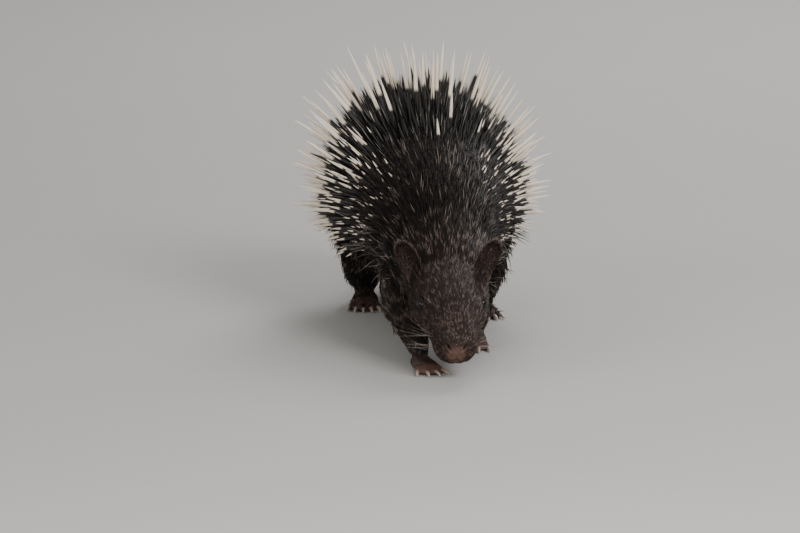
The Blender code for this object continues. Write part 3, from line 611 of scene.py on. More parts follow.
def subdivide_where(mesh, chosen):
    """Splits the chosen faces of a mesh in four, and eases the points between them."""
    shaped = bmesh.new()
    shaped.from_mesh(mesh)
    shaped.faces.ensure_lookup_table()
    faces = [shaped.faces[i] for i in chosen]
    edges = list({e for f in faces for e in f.edges})
    bmesh.ops.subdivide_edges(shaped, edges=edges, cuts=1, use_grid_fill=True)
    inner = list({v for f in shaped.faces if f.calc_area() < SKIN_VOXEL**2 * 0.5 for v in f.verts})
    for _ in range(2):
        bmesh.ops.smooth_vert(shaped, verts=inner, factor=0.5, use_axis_x=True, use_axis_y=True,
                              use_axis_z=True)
    shaped.to_mesh(mesh)
    shaped.free()


def face_middles(mesh):
    """The middles of the mesh's faces, as rows."""
    middles = np.empty(len(mesh.polygons) * 3)
    mesh.polygons.foreach_get("center", middles)
    return middles.reshape(-1, 3)


def place_on_body(points):
    """Where points lie on the body, as a dict of arrays.

    s, angle and degrees are the trunk's, on_leg is 1 on a leg and 0 on the trunk, leg is the
    nearest leg's number, down is how far down that leg (1 at the ankle, 1.2 on the foot), and
    way is the lie of the coat: towards the tail on the trunk, and down to the toes on a leg.
    """
    samples = np.linspace(0, TRUNK_LENGTH, 500)
    middle, along, _, _ = trunk_frame(samples)
    number = nearest(points, middle)[1]
    s = samples[number] + ((points - middle[number]) * along[number]).sum(axis=1)
    s = np.clip(s, 0, TRUNK_LENGTH)
    middle, along, up, row = trunk_frame(s)
    h = ((points - middle) * up).sum(axis=1)
    x = points[:, 0]
    half = np.where(h > 0, row[:, 3], row[:, 4])
    power = row[:, 5]
    ratio = (np.abs(x / row[:, 2]) ** power + np.abs(h / half) ** power) ** (1 / power)
    angle = np.arctan2(
        np.sign(x) * np.abs(x / row[:, 2]) ** (power / 2),
        np.sign(h) * np.abs(h / half) ** (power / 2),
    )
    lines, runs, legs, downs = [], [], [], []
    for index, name in enumerate(LEGS):
        joints, foot, side, _ = LEGS[name]
        path = smooth_path(joints, side, LEG_STEPS)[0]
        ahead, _, heel = foot_ways(name)
        sole = heel + ahead * np.linspace(0.01, foot["length"] + TOE_LENGTH, SOLE_STEPS)[:, None]
        sole[:, 2] = foot["height"] * 0.45
        lines += [path, sole]
        runs += [unit(np.gradient(path, axis=0)), np.broadcast_to(ahead, (SOLE_STEPS, 3))]
        legs += [np.full(LEG_STEPS + SOLE_STEPS, index)]
        downs += [np.linspace(0, 1, LEG_STEPS), np.full(SOLE_STEPS, 1.2)]
    lines, runs = np.concatenate(lines), np.concatenate(runs)
    number = nearest(points, lines)[1]
    leg, down = np.concatenate(legs)[number], np.concatenate(downs)[number]
    on_leg = smooth_step(1.03, 1.22, ratio) * (s > AT["nape"]) * (s < AT["tail_root"])
    low = smooth_step(0.042, 0.030, points[:, 2]) * (s > AT["snout"]) * (ratio > 1.05)
    on_leg = np.maximum(on_leg, low)
    way = unit(along * (1 - on_leg)[:, None] + runs[number] * on_leg[:, None])
    return {
        "s": s,
        "angle": angle,
        "degrees": np.degrees(np.abs(angle)),
        "on_leg": on_leg,
        "leg": leg,
        "down": down,
        "way": way,
    }


def bake_place(place):
    """Where a point of the body lies on its unwrap: the trunk's skin laid flat, legs beside it."""
    trunk_u = 0.02 + 0.60 * (place["angle"] / (2 * math.pi) + 0.5)
    trunk_v = 0.02 + 0.95 * place["s"] / TRUNK_LENGTH
    leg_u = 0.66 + 0.16 * (place["leg"] % 2) + 0.13 * np.abs(place["angle"]) / math.pi
    leg_v = 0.05 + 0.45 * (place["leg"] // 2) + 0.36 * np.clip(place["down"], 0, 1.2)
    on_leg = place["on_leg"] > 0.5
    return np.column_stack(
        [np.where(on_leg, leg_u, trunk_u), np.where(on_leg, leg_v, trunk_v)]
    )


def surface_of(name):
    """Triangles and their corners' normals of a made piece, in the body's coordinates."""
    mesh = bpy.data.objects[name].data
    mesh.calc_loop_triangles()
    corners = np.empty(len(mesh.loop_triangles) * 3, int)
    mesh.loop_triangles.foreach_get("vertices", corners)
    corners = corners.reshape(-1, 3)
    return (points_of(mesh) - OFFSET)[corners], normals_of(mesh)[corners]


def scatter(draw, surface, count, density):
    """Roots on a surface and its normals there: evenly spaced draws from area times density."""
    triangles, normals = surface
    area = 0.5 * np.linalg.norm(
        np.cross(triangles[:, 1] - triangles[:, 0], triangles[:, 2] - triangles[:, 0]), axis=1
    )
    total = np.cumsum(area * density(triangles.mean(axis=1)))
    picks = (np.arange(count) + draw.random(count)) / count * total[-1]
    number = np.searchsorted(total, picks)
    a, b = draw.random(count), draw.random(count)
    over = a + b > 1
    a, b = np.where(over, 1 - a, a), np.where(over, 1 - b, b)
    weights = np.column_stack([1 - a - b, a, b])[:, :, None]
    roots = (triangles[number] * weights).sum(axis=1)
    return roots, unit((normals[number] * weights).sum(axis=1))


def tufts(roots, normals, ways, length, width, lift, droop, levels, sides=3, flat=1.0, sway=0.0,
          sink=0.0012, gather=0.0):
    """Closed tapered tufts as rows of points, with each row's share of the length.

    A tuft's middle line is root + length (x way + y normal), where its angle off the skin
    goes evenly from lift to lift - droop, so x = t cos(lift) + t^2 droop sin(lift) / 2 and
    y = t sin(lift) - t^2 droop cos(lift) / 2. It also leans aside by sway t^2, and to its lock
    by t^1.5 times gather. levels gives the width's share at shares of the length, and the
    tuft ends in a point.
    """
    count = len(roots)
    ways = unit(ways - normals * (ways * normals).sum(axis=1)[:, None])
    aside = np.cross(normals, ways)
    length, width, lift, droop, sway = (
        np.broadcast_to(v, count)[:, None] for v in (length, width, lift, droop, sway)
    )
    rows = []
    for t, share in (*levels, (1.0, 0.0)):
        x = t * np.cos(lift) + 0.5 * t * t * droop * np.sin(lift)
        y = t * np.sin(lift) - 0.5 * t * t * droop * np.cos(lift)
        middle = roots + length * (x * ways + y * normals + sway * t * t * aside)
        middle = middle + gather * t**1.5
        if share == 0:
            rows.append(middle[:, None])
            continue
        if t == 0:
            middle = middle - normals * sink
        angle = lift - droop * t
        run = ways * np.cos(angle) + normals * np.sin(angle)
        a = unit(aside - run * (aside * run).sum(axis=1)[:, None])
        b = np.cross(run, a)
        around = np.linspace(0, 2 * math.pi, sides, endpoint=False)[None, :, None]
        half = 0.5 * (width * share)[:, :, None]
        rows.append(
            middle[:, None]
            + a[:, None] * np.cos(around) * half
            + b[:, None] * np.sin(around) * half * flat
        )
    points = np.concatenate(rows, axis=1)
    points[:, :, 2] = np.maximum(points[:, :, 2], FLOOR_GAP)
    return points, [t for t, _ in levels], sides


def tuft_mesh(name, grown, bake, values):
    """One mesh of many tufts, each baked on a small patch at its root's place.

    values holds one number for each tuft, under the names that the materials read. Each
    tuft also gets along, which is 0 at its root and 1 at its point.
    """
    points, shares, sides = grown
    count, each = points.shape[:2]
    levels = len(shares)
    k, j = np.meshgrid(np.arange(levels - 1), np.arange(sides), indexing="ij")
    k, j = k.ravel(), j.ravel()
    n = (j + 1) % sides
    quads = np.column_stack(
        [k * sides + j, k * sides + n, (k + 1) * sides + n, (k + 1) * sides + j]
    )
    shares = np.array([*shares, 1.0])
    u = np.stack([j, j + 1, j + 1, j], axis=1) / sides
    v = np.stack([shares[k], shares[k], shares[k + 1], shares[k + 1]], axis=1)
    quad_uv = np.stack([u, v], axis=2)
    j = np.arange(sides)
    last = (levels - 1) * sides
    tips = np.column_stack([last + j, last + (j + 1) % sides, np.full(sides, levels * sides)])
    u = np.stack([j, j + 1, j + 0.5], axis=1) / sides
    v = np.broadcast_to([shares[levels - 1], shares[levels - 1], 1.0], (sides, 3))
    tip_uv = np.stack([u, v], axis=2)
    base = j[::-1][None]
    base_uv = np.stack([base / sides, base * 0.0], axis=2)
    starts = (np.arange(count) * each)[:, None, None]
    groups = [(quads, quad_uv), (tips, tip_uv), (base, base_uv)]
    groups = [(f, uv) for f, uv in groups if len(f)]
    faces = [(f[None] + starts).reshape(-1, f.shape[1]) for f, _ in groups]
    mesh = new_mesh(name, points.reshape(-1, 3), *faces)
    patch = bake[:, None, None, :] - 0.5 * BAKE_PATCH
    corners = np.concatenate(
        [(patch + uv[None] * BAKE_PATCH).reshape(-1, 2) for _, uv in groups]
    )
    layer = mesh.uv_layers.new(name="OFBake")
    layer.uv.foreach_set("vector", corners.astype(np.float32).ravel())
    along = np.append(np.repeat(shares[:levels], sides), 1.0)
    set_values(mesh, "along", np.tile(along, count))
    for value_name, numbers in values.items():
        set_values(mesh, value_name, np.repeat(numbers, each))
    return mesh


def coat_place(s):
    """0 at the neck's end of the torso and 1 at the tail's root."""
    return (s - AT["neck"]) / (AT["tail_root"] - AT["neck"])


def quill_length(s, degrees):
    """The longest quill at each place: the top line's, times the share for the degrees."""
    along = np.interp(coat_place(s), QUILL_PLACE, QUILL_LENGTH)
    return along * np.interp(degrees, ROUND_DEGREES, ROUND_SHARE)


def quill_lift(draw, s, low, high):
    """How far quills stand off the body, in radians, each changed by low to high degrees."""
    along = np.interp(coat_place(s), QUILL_PLACE, QUILL_LIFT)
    return np.radians(along + draw.uniform(low, high, len(s)))


def waves(points, scale):
    """A smooth number from -1 to 1 that wanders over the body, so neighbours lie alike."""
    x, y, z = (points / scale).T
    return np.sin(x * 1.7 + 2.1 * np.sin(y)) * np.sin(y * 1.3 + 1.7 * np.sin(z + x))


def turned(ways, normals, angle):
    """Ways turned about the normals by an angle each."""
    aside = np.cross(normals, ways)
    return ways * np.cos(angle)[:, None] + aside * np.sin(angle)[:, None]


def combed(draw, roots, normals, ways, wander, scale, spread):
    """Ways of the coat, wandering together over the body and a little each by itself."""
    own = draw.normal(0, spread, len(roots))
    return turned(ways, normals, wander * waves(roots, scale) + own)


def in_locks(draw, roots, count, strength, lie=(0, 1, 0)):
    """How tufts lean together into locks, and each lock's own number from 0 to 1.

    Each of count roots, drawn at random, leads the tufts nearest to it, and a tuft leans
    to its leader by strength times the way between their roots. Distances along the lie
    count as 0.4 of their length, so locks are long and narrow.
    """
    lie = unit(np.array(lie, float))
    squeezed = roots - 0.6 * (roots @ lie)[:, None] * lie
    chosen = draw.choice(len(roots), min(count, len(roots)), replace=False)
    number = nearest(squeezed, squeezed[chosen])[1]
    return (roots[chosen][number] - roots) * strength, draw.random(len(chosen))[number]


def body_values(place, draw, lock=None):
    """Numbers for the coat's colours: tone is each tuft's own, face is 1 on the face."""
    own = draw.random(len(place["s"]))
    tone = own if lock is None else 0.6 * lock + 0.4 * own
    face = 1 - smooth_step(AT["eyes"], AT["nape"], place["s"])
    return {"tone": tone, "face": face * (1 - place["on_leg"])}


def from_nostrils(points):
    """Distance from the nearer nostril, which is 1 at the slit's edge."""
    found = []
    for side in (-1, 1):
        angle, lean = side * math.radians(NOSTRIL_DEGREES), side * math.radians(NOSTRIL_LEAN)
        q = points - trunk_point(NOSE_ROUNDING * NOSTRIL_PLACE, angle)
        along = q[:, 0] * math.sin(lean) + q[:, 2] * math.cos(lean)
        across = q[:, 0] * math.cos(lean) - q[:, 2] * math.sin(lean)
        found.append(np.hypot(along / NOSTRIL_HALF_LENGTH, across / NOSTRIL_HALF_WIDTH))
    return np.minimum(*found)


def around_nose(points):
    """Distance from the middle of the bare end of the nose, 1 at its edge."""
    height, half_width, half_height = BARE_NOSE
    return np.hypot(points[:, 0] / half_width, (points[:, 2] - height) / half_height)


# Materials


def group_sockets(group, made, kind):
    """Adds inputs or outputs, given as {name: (socket type, default or None)}."""
    for name, (socket, default) in made.items():
        found = group.interface.new_socket(name=name, in_out=kind, socket_type=socket)
        if default is not None:
            found.default_value = default


def maths(tree, operation, first, second=None, clamp=False):
    """A Math node on two sockets or numbers, and its output."""
    made = tree.nodes.new("ShaderNodeMath")
    made.operation = operation
    made.use_clamp = clamp
    for index, value in enumerate((first, second)):
        if value is None:
            continue
        if isinstance(value, (int, float)):
            made.inputs[index].default_value = value
        else:
            tree.links.new(value, made.inputs[index])
    return made.outputs[0]


def mix_colour(tree, share, first, second, blend="MIX"):
    """A Mix node on two colours or sockets, and its output."""
    made = tree.nodes.new("ShaderNodeMix")
    made.data_type = "RGBA"
    made.blend_type = blend
    for key, value in (("Factor", share), (6, first), (7, second)):
        socket = made.inputs[key]
        if isinstance(value, (int, float)):
            socket.default_value = value
        elif isinstance(value, (tuple, list)) or hasattr(value, "r"):
            socket.default_value = (*value[:3], 1.0)
        else:
            tree.links.new(value, socket)
    return made.outputs[2]


def noise(tree, scale, detail, vector=None):
    """A noise texture on Object coordinates, or on another vector, and its value."""
    made = tree.nodes.new("ShaderNodeTexNoise")
    made.inputs["Scale"].default_value = scale
    made.inputs["Detail"].default_value = detail
    if vector is None:
        vector = tree.nodes.new("ShaderNodeTexCoord").outputs["Object"]
    tree.links.new(vector, made.inputs["Vector"])
    return made.outputs["Fac"]


def range_of(tree, value, low, high, to_low=0.0, to_high=1.0):
    """A Map Range node that clamps, and its output."""
    made = tree.nodes.new("ShaderNodeMapRange")
    tree.links.new(value, made.inputs["Value"])
    numbers = {"From Min": low, "From Max": high, "To Min": to_low, "To Max": to_high}
    for name, number in numbers.items():
        if isinstance(number, (int, float)):
            made.inputs[name].default_value = number
        else:
            tree.links.new(number, made.inputs[name])
    return made.outputs["Result"]


def stored(tree, name):
    """The number stored on the mesh under that name."""
    made = tree.nodes.new("ShaderNodeAttribute")
    made.attribute_name = name
    return made.outputs["Fac"]


def bump(tree, height, strength, distance):
    """A Bump node's normal, from a height in the distance's units."""
    made = tree.nodes.new("ShaderNodeBump")
    made.inputs["Strength"].default_value = strength
    made.inputs["Distance"].default_value = distance
    tree.links.new(height, made.inputs["Height"])
    return made.outputs["Normal"]


def new_material(name, roughness):
    """A material with its Principled shader."""
    made = bpy.data.materials.new(name)
    made.use_nodes = True
    shader = made.node_tree.nodes["Principled BSDF"]
    shader.inputs["Roughness"].default_value = roughness
    shader.inputs["Metallic"].default_value = 0.0
    return made, made.node_tree, shader


def connect(tree, shader, **sockets):
    """Links sockets to the shader's inputs of that name, with a space for each underscore."""
    for name, socket in sockets.items():
        tree.links.new(socket, shader.inputs[name.replace("_", " ")])


def darker(colour, share):
    """The colour times a share."""
    return [c * share for c in colour]


def skin_grain_group():
    """Fine creases and pores of bare hide as a height, and slow mottling as a mask."""
    name = "hide grain"
    if name in bpy.data.node_groups:
        return bpy.data.node_groups[name]
    tree = bpy.data.node_groups.new(name, "ShaderNodeTree")
    number, vector = "NodeSocketFloat", "NodeSocketVector"
    group_sockets(tree, {"Vector": (vector, None), "Crease Scale": (number, 900.0)}, "INPUT")
    group_sockets(tree, {"Height": (number, None), "Mottle": (number, None)}, "OUTPUT")
    inside = tree.nodes.new("NodeGroupInput")
    outside = tree.nodes.new("NodeGroupOutput")
    cells = tree.nodes.new("ShaderNodeTexVoronoi")
    cells.feature = "DISTANCE_TO_EDGE"
    connect(tree, cells, Vector=inside.outputs["Vector"], Scale=inside.outputs["Crease Scale"])
    crease = range_of(tree, cells.outputs["Distance"], 0.0, 0.25)
    fine = noise(tree, 1600.0, 3.0, inside.outputs["Vector"])
    slow = noise(tree, 60.0, 3.0, inside.outputs["Vector"])
    creases, pores = maths(tree, "MULTIPLY", crease, 0.7), maths(tree, "MULTIPLY", fine, 0.3)
    height = maths(tree, "ADD", creases, pores)
    connect(tree, outside, Height=height, Mottle=range_of(tree, slow, 0.35, 0.65))
    return tree


def skin_material(colours):
    """Brown hide under the fur, pinkish and creased where it is bare at the nose and feet, with painted
    shade in the nostrils and along the mouth, and dark lids.
    """
    made, tree, shader = new_material("hide", 0.6)
    shader.inputs["Specular IOR Level"].default_value = 0.22
    place = tree.nodes.new("ShaderNodeTexCoord")
    grain = tree.nodes.new("ShaderNodeGroup")
    grain.node_tree = skin_grain_group()
    connect(tree, grain, Vector=place.outputs["Object"])
    mottle = grain.outputs["Mottle"]
    furred = mix_colour(tree, mottle, colours.hide, darker(colours.hide, 0.62))
    bare = mix_colour(tree, mottle, colours.nose, darker(colours.nose, 0.72))
    colour = mix_colour(tree, stored(tree, "bare"), furred, bare)
    # Darkens the hide to painted shade in the nostrils and the mouth's line, and to the dark skin of
    # the lids.
    colour = mix_colour(tree, stored(tree, "shade_and_dark_lid"), colour, darker(colours.hide, 0.22))
    rough = range_of(tree, mottle, 0.0, 1.0, 0.50, 0.68)
    normal = bump(tree, grain.outputs["Height"], 0.5, 0.0004)
    connect(tree, shader, Base_Color=colour, Roughness=rough, Normal=normal)
    return made


def fur_material(colours, name, body_root, body_tip, pale, roughness, grizzled_from, shine):
    """Fur or bristles: dark at the root, paler along, each its own tone, some grizzled; on the black
    spines the grizzled ends are painted glints, partly pale tips.
    """
    made, tree, shader = new_material(name, roughness)
    shader.inputs["Specular IOR Level"].default_value = shine
    along, tone, face = stored(tree, "along"), stored(tree, "tone"), stored(tree, "face")
    root = mix_colour(tree, face, body_root, colours.face_root)
    tip = mix_colour(tree, face, body_tip, colours.face_tip)
    tip = mix_colour(tree, stored(tree, "rosy"), tip, colours.nose_fur)
    colour = mix_colour(tree, range_of(tree, along, 0.25, 1.0), root, tip)
    grizzled = range_of(tree, tone, grizzled_from, grizzled_from + 0.05)
    # The pale band towards the tips: grizzled fur, and painted glints where pale is the Glint colour.
    band = maths(tree, "MULTIPLY", range_of(tree, along, 0.35, 0.70), grizzled)
    colour = mix_colour(tree, maths(tree, "MULTIPLY", band, 0.85), colour, pale)
    shade = range_of(tree, tone, 0.0, 1.0, 0.60, 1.20)
    grey = tree.nodes.new("ShaderNodeCombineColor")
    for socket in grey.inputs[:3]:
        tree.links.new(shade, socket)
    colour = mix_colour(tree, 1.0, colour, grey.outputs["Color"], "MULTIPLY")
    rough = range_of(tree, tone, 0.0, 1.0, roughness - 0.08, roughness + 0.10)
    connect(tree, shader, Base_Color=colour, Roughness=rough)
    return made


def quill_material(colours):
    """Quills: nearly black shafts and ivory points, parted by a sharp, slightly uneven line."""
    made, tree, shader = new_material("quill", 0.34)
    along, tone, start = stored(tree, "along"), stored(tree, "tone"), stored(tree, "ivory_from")
    grain = noise(tree, 1400.0, 2.0)
    uneven = maths(tree, "MULTIPLY", maths(tree, "SUBTRACT", grain, 0.5), 0.05)
    reach = maths(tree, "SUBTRACT", maths(tree, "ADD", along, uneven), start)
    ivory = range_of(tree, reach, -0.012, 0.030)
    dark = mix_colour(tree, range_of(tree, along, 0.0, 0.5), colours.quill_root, colours.quill_dark)
    pale = mix_colour(tree, range_of(tree, along, 0.7, 1.0), colours.ivory, colours.ivory_point)
    pale = mix_colour(tree, maths(tree, "MULTIPLY", tone, 0.35), pale, colours.ivory_stain)
    colour = mix_colour(tree, ivory, dark, pale)
    rough = range_of(tree, grain, 0.3, 0.7, 0.28, 0.44)
    normal = bump(tree, noise(tree, 2600.0, 2.0), 0.25, 0.0002)
    connect(tree, shader, Base_Color=colour, Roughness=rough, Normal=normal)
    return made


def horn_material(colours):
    """Claws: brownish horn at the root and paler, smoother horn at the point."""
    made, tree, shader = new_material("claw horn", 0.35)
    along = stored(tree, "along")
    streaks = noise(tree, 900.0, 3.0)
    colour = mix_colour(tree, range_of(tree, along, 0.1, 0.8), colours.claw_root, colours.claw)
    colour = mix_colour(tree, maths(tree, "MULTIPLY", streaks, 0.5), colour, colours.claw_root)
    rough = range_of(tree, streaks, 0.3, 0.7, 0.28, 0.42)
    connect(tree, shader, Base_Color=colour, Roughness=rough, Normal=bump(tree, streaks, 0.3, 0.0002))
    return made


def eye_material(colours):
    """A dark wet eye with a faint brown iris round the pupil."""
    made, tree, shader = new_material("wet eye", 0.04)
    ring = stored(tree, "from_pupil")
    streaks = noise(tree, 1800.0, 2.0)
    iris = mix_colour(tree, streaks, colours.iris, darker(colours.iris, 0.4))
    inner = mix_colour(tree, range_of(tree, ring, 0.40, 0.48), colours.pupil, iris)
    colour = mix_colour(tree, range_of(tree, ring, 0.72, 0.86), inner, colours.pupil)
    connect(tree, shader, Base_Color=colour)
    shader.inputs["IOR"].default_value = 1.38
    return made


def whisker_material(colours):
    """Stiff pale whiskers, darker at the root."""
    made, tree, shader = new_material("whisker", 0.4)
    root_end = range_of(tree, stored(tree, "along"), 0.0, 0.35)
    colour = mix_colour(tree, root_end, colours.face_root, colours.whisker)
    tone = maths(tree, "MULTIPLY", stored(tree, "tone"), 0.8)
    connect(tree, shader, Base_Color=mix_colour(tree, tone, colour, colours.face_tip))
    return made


def floor_material(colours):
    """A plain pale floor with a trace of unevenness."""
    made, tree, shader = new_material("studio floor", 0.7)
    slow = noise(tree, 3.0, 2.0)
    colour = mix_colour(tree, slow, colours.floor, darker(colours.floor, 0.96))
    connect(tree, shader, Base_Color=colour)
    return made


# Properties


def colour_property(name, description, default):
    """A colour that a user may change."""
    return bpy.props.FloatVectorProperty(
        name=name, description=description, subtype="COLOR", size=3, min=0, max=1, default=default
    )


def length_property(name, description, default):
    """A length in metres that a user may change."""
    return bpy.props.FloatProperty(
        name=name, description=description, unit="LENGTH", min=0, precision=4, default=default
    )


class PorcupineColours(bpy.types.PropertyGroup):
    hide: colour_property("Hide", "Skin under the fur", (0.022, 0.015, 0.012))
    nose: colour_property("Nose", "Bare skin of nose and toes", (0.128, 0.068, 0.054))
    nose_fur: colour_property("Nose fur", "Velvet fur round the nose", (0.105, 0.060, 0.048))
    face_root: colour_property("Face fur root", "Root of the face's fur", (0.017, 0.011, 0.009))
    face_tip: colour_property("Face fur tip", "Tip of the face's fur", (0.082, 0.054, 0.044))
    fur_root: colour_property("Fur root", "Root of the body's fur", (0.008, 0.006, 0.005))
    fur_tip: colour_property("Fur tip", "Tip of the body's fur", (0.040, 0.028, 0.022))
    bristle_root: colour_property("Bristle root", "Root of the bristles", (0.005, 0.004, 0.0035))
    bristle_tip: colour_property("Bristle tip", "Tip of the bristles", (0.028, 0.021, 0.018))
    spine_tip: colour_property("Spine tip", "Tip of the short black spines", (0.012, 0.010, 0.009))
    grizzle: colour_property("Grizzle", "Pale tips scattered through the fur", (0.26, 0.20, 0.17))
    # Painted glints: pale grey on the ends of some black spines, standing in for glints of light on
    # them and partly for real pale tips.
    glint: colour_property("Glint", "Pale grey ends of some black spines", (0.20, 0.185, 0.17))
    quill_root: colour_property("Quill root", "Root of a quill", (0.060, 0.045, 0.036))
    quill_dark: colour_property("Quill shaft", "Dark shaft of a quill", (0.010, 0.008, 0.007))
    ivory: colour_property("Ivory", "Pale part of a quill", (0.80, 0.70, 0.57))
    ivory_point: colour_property("Ivory point", "Very point of a quill", (0.88, 0.80, 0.69))
    ivory_stain: colour_property("Ivory stain", "Stain on some quills", (0.58, 0.43, 0.29))
    claw: colour_property("Claw", "Claw", (0.42, 0.33, 0.26))
    claw_root: colour_property("Claw root", "Root of a claw", (0.14, 0.10, 0.08))
    pupil: colour_property("Pupil", "Pupil and rim of the eye", (0.003, 0.002, 0.002))
    iris: colour_property("Iris", "Iris", (0.012, 0.006, 0.004))
    whisker: colour_property("Whisker", "Pale whiskers", (0.48, 0.42, 0.36))
    floor: colour_property("Floor", "Studio floor", (0.45, 0.44, 0.423))


class PorcupineSizes(bpy.types.PropertyGroup):
    quill_width: length_property("Quill width", "Thickest part of a quill", 0.0041)
    ivory_length: length_property("Ivory length", "Pale part of a long quill", 0.049)
    whisker_length: length_property("Whisker length", "Longest whiskers", 0.052)
    fullness: bpy.props.FloatProperty(
        name="Fullness", description="Share of the full number of tufts", min=0.05, max=1.0, default=1.0
    )


class PorcupineStage(bpy.types.PropertyGroup):
    azimuth: bpy.props.FloatProperty(
        name="Azimuth", description="Camera's turn round the animal", subtype="ANGLE",
        default=math.radians(-4.7),
    )
    elevation: bpy.props.FloatProperty(
        name="Elevation", description="Camera's height as an angle", subtype="ANGLE",
        default=math.radians(10),
    )
    distance: length_property("Distance", "From the camera to the nose", 8.4)
    lens: bpy.props.FloatProperty(name="Lens", description="Focal length in mm", default=400)


# Operators


class PORCUPINE_OT_skin(bpy.types.Operator):
    """Make one skin over trunk, legs and feet, with the face's folds pressed in"""

    bl_idname = "porcupine.skin"
    bl_label = "Skin"

    def execute(self, context):
        parts = []
        s = np.concatenate(
            [
                NOSE_ROUNDING * (1 - np.cos(np.radians(np.linspace(14, 84, 8)))),
                np.linspace(NOSE_ROUNDING, TRUNK_LENGTH - TAIL_ROUNDING, 240),
                TRUNK_LENGTH - TAIL_ROUNDING * (1 - np.sin(np.radians(np.linspace(12, 80, 6)))),
            ]
        )
        around = np.linspace(0, 2 * math.pi, 96, endpoint=False)
        around = np.where(around > math.pi, around - 2 * math.pi, around)
        depth = by_station(FUR_DEPTH, s)
        parts.append(closed_grid(trunk_point(s[:, None], -around[None], -depth[:, None])))
        for name, (joints, _, side, _) in LEGS.items():
            path, radii = smooth_path(joints, side, 30)
            path, radii = rounded_ends(path, radii - LEG_FUR_DEPTH)
            parts.append(closed_grid(tube(path, radii, 32, (1, 0, 0))))
            parts.append(closed_grid(sole_rings(name)))
            for toe, width, way in toe_paths(name):
                toe, width = rounded_ends(toe, width)
                parts.append(closed_grid(tube(toe, width, 16, np.cross(way, (0, 0, 1)))))
        skin = new_object("skin", new_mesh("skin", *joined(parts)))
        remesh = skin.modifiers.new("even", "REMESH")
        remesh.mode = "VOXEL"
        remesh.voxel_size = SKIN_VOXEL
        ease = skin.modifiers.new("ease", "SMOOTH")
        ease.factor = 0.5
        ease.iterations = 5
        applied(skin)
        middles = face_middles(skin.data)
        eyes = np.array([eye_frame(side)[0] for side in (-1, 1)])
        face = (middles[:, 1] < 0.085) & (middles[:, 2] > 0.008)
        feet = (middles[:, 2] < 0.014) & (nearest(middles, foot_points())[0] < 0.03)
        subdivide_where(skin.data, np.flatnonzero(face | feet))
        middles = face_middles(skin.data)
        muzzle = (middles[:, 1] < 0.036) & (middles[:, 2] > 0.008)
        around_eyes = nearest(middles, eyes)[0] < 0.012
        subdivide_where(skin.data, np.flatnonzero(muzzle & (middles[:, 1] < 0.030) | around_eyes))
        points = shape_face(points_of(skin.data), normals_of(skin.data))
        points[:, 2] = np.maximum(points[:, 2], 0.0)
        skin.data.vertices.foreach_set("co", points.astype(np.float32).ravel())
        skin.data.update()
        store_bareness(skin.data, points)
        finish_piece(
            skin,
            skin_material(context.scene.porcupine_colours),
            ["head", "neck", "torso", "tail", *LEGS, *(n.replace("leg", "paw") for n in LEGS)],
        )
        return {"FINISHED"}


def foot_points():
    """Points along all four feet, to tell what is near a foot."""
    return np.concatenate([sole_rings(name).mean(axis=1) for name in LEGS])


def store_bareness(mesh, points):
    """Stores where the hide is bare (nose, lips, toes, soles), and the painted shade inside the
    nostrils and along the line of the mouth.
    """
    nose = 1 - smooth_step(0.6, 1.9, around_nose(points))
    nose = nose * smooth_step(0.016, 0.008, points[:, 1])
    mouth = np.exp(-((nearest(points, mouth_path())[0] / 0.003) ** 2))
    foot = nearest(points, foot_points())[0] < 0.04
    toes = np.where(foot, smooth_step(0.014, 0.006, points[:, 2]), 0)
    set_values(mesh, "bare", np.clip(nose + 0.6 * mouth + toes, 0, 1))
    # Painted shade: dark inside the pressed-in nostrils and in a thin line along the mouth's seam.
    shade_and_dark_lid = np.where(points[:, 1] < 0.02, np.exp(-1.4 * from_nostrils(points) ** 2), 0)
    shade_and_dark_lid += 0.8 * np.exp(-((nearest(points, mouth_path())[0] / 0.0008) ** 2))
    set_values(mesh, "shade_and_dark_lid", np.clip(shade_and_dark_lid, 0, 1))


class PORCUPINE_OT_ears(bpy.types.Operator):
    """Make both ears as hollow, rounded cups rooted in the skin"""

    bl_idname = "porcupine.ears"
    bl_label = "Ears"

    def execute(self, context):
        finish = skin_material(context.scene.porcupine_colours)
        for side, word in ((1, "left"), (-1, "right")):
            ear = new_object(f"ear_cup_{word}", new_mesh("ear", *closed_grid(ear_rings(side))))
            points = points_of(ear.data)
            set_values(ear.data, "bare", np.full(len(points), 0.32))
            set_values(ear.data, "shade_and_dark_lid", np.zeros(len(points)))
            finish_piece(ear, finish, [f"ear_{word}"])
        return {"FINISHED"}


def ear_frame(side):
    """Root of an ear, with the ways it grows, faces and spreads."""
    angle = side * math.radians(EAR_DEGREES)
    normal, back = trunk_normal(AT[EAR_STATION], angle)
    root = trunk_point(AT[EAR_STATION], angle) - back * EAR_FORWARD
    grow = unit(normal * 0.45 + back * 0.42 + np.array([0, 0, 0.62]))
    front = unit(normal * 0.72 - back * 0.60)
    across = unit(np.cross(grow, front))
    return root, grow, np.cross(across, grow), across


def ear_rings(side):
    """Crescent loops up an ear.

    The outer arc is (w sin a, -h cos a) for a from -90 to 90 degrees, and the inner arc is
    the same a wall's thickness inside, run backwards. w rounds off to the tip.
    """
    root, grow, front, across = ear_frame(side)
    v = np.sin(0.5 * math.pi * np.linspace(0, 1, 26))[:, None]
    rounding = np.sqrt(1 - (0.985 * v) ** 3)
    wide = EAR_HALF_WIDTH * (0.62 + 0.55 * v) * rounding
    deep = EAR_HOLLOW * (0.35 + 0.65 * rounding)
    a = np.linspace(-0.5 * math.pi, 0.5 * math.pi, 22)[None]
    wall = EAR_WALL * (0.45 + 0.55 * rounding)
    x = np.concatenate([wide * np.sin(a), (wide - wall) * np.sin(a[:, ::-1])], axis=1)
    y = np.concatenate([-deep * np.cos(a), -(deep - wall) * np.cos(a[:, ::-1])], axis=1)
    y = y + EAR_HOLLOW * 0.5 * v**2
    up = -0.008 + (EAR_LENGTH + 0.008) * v
    rings = root + grow * up[:, :, None] + across * x[:, :, None] + front * y[:, :, None]
    return rings


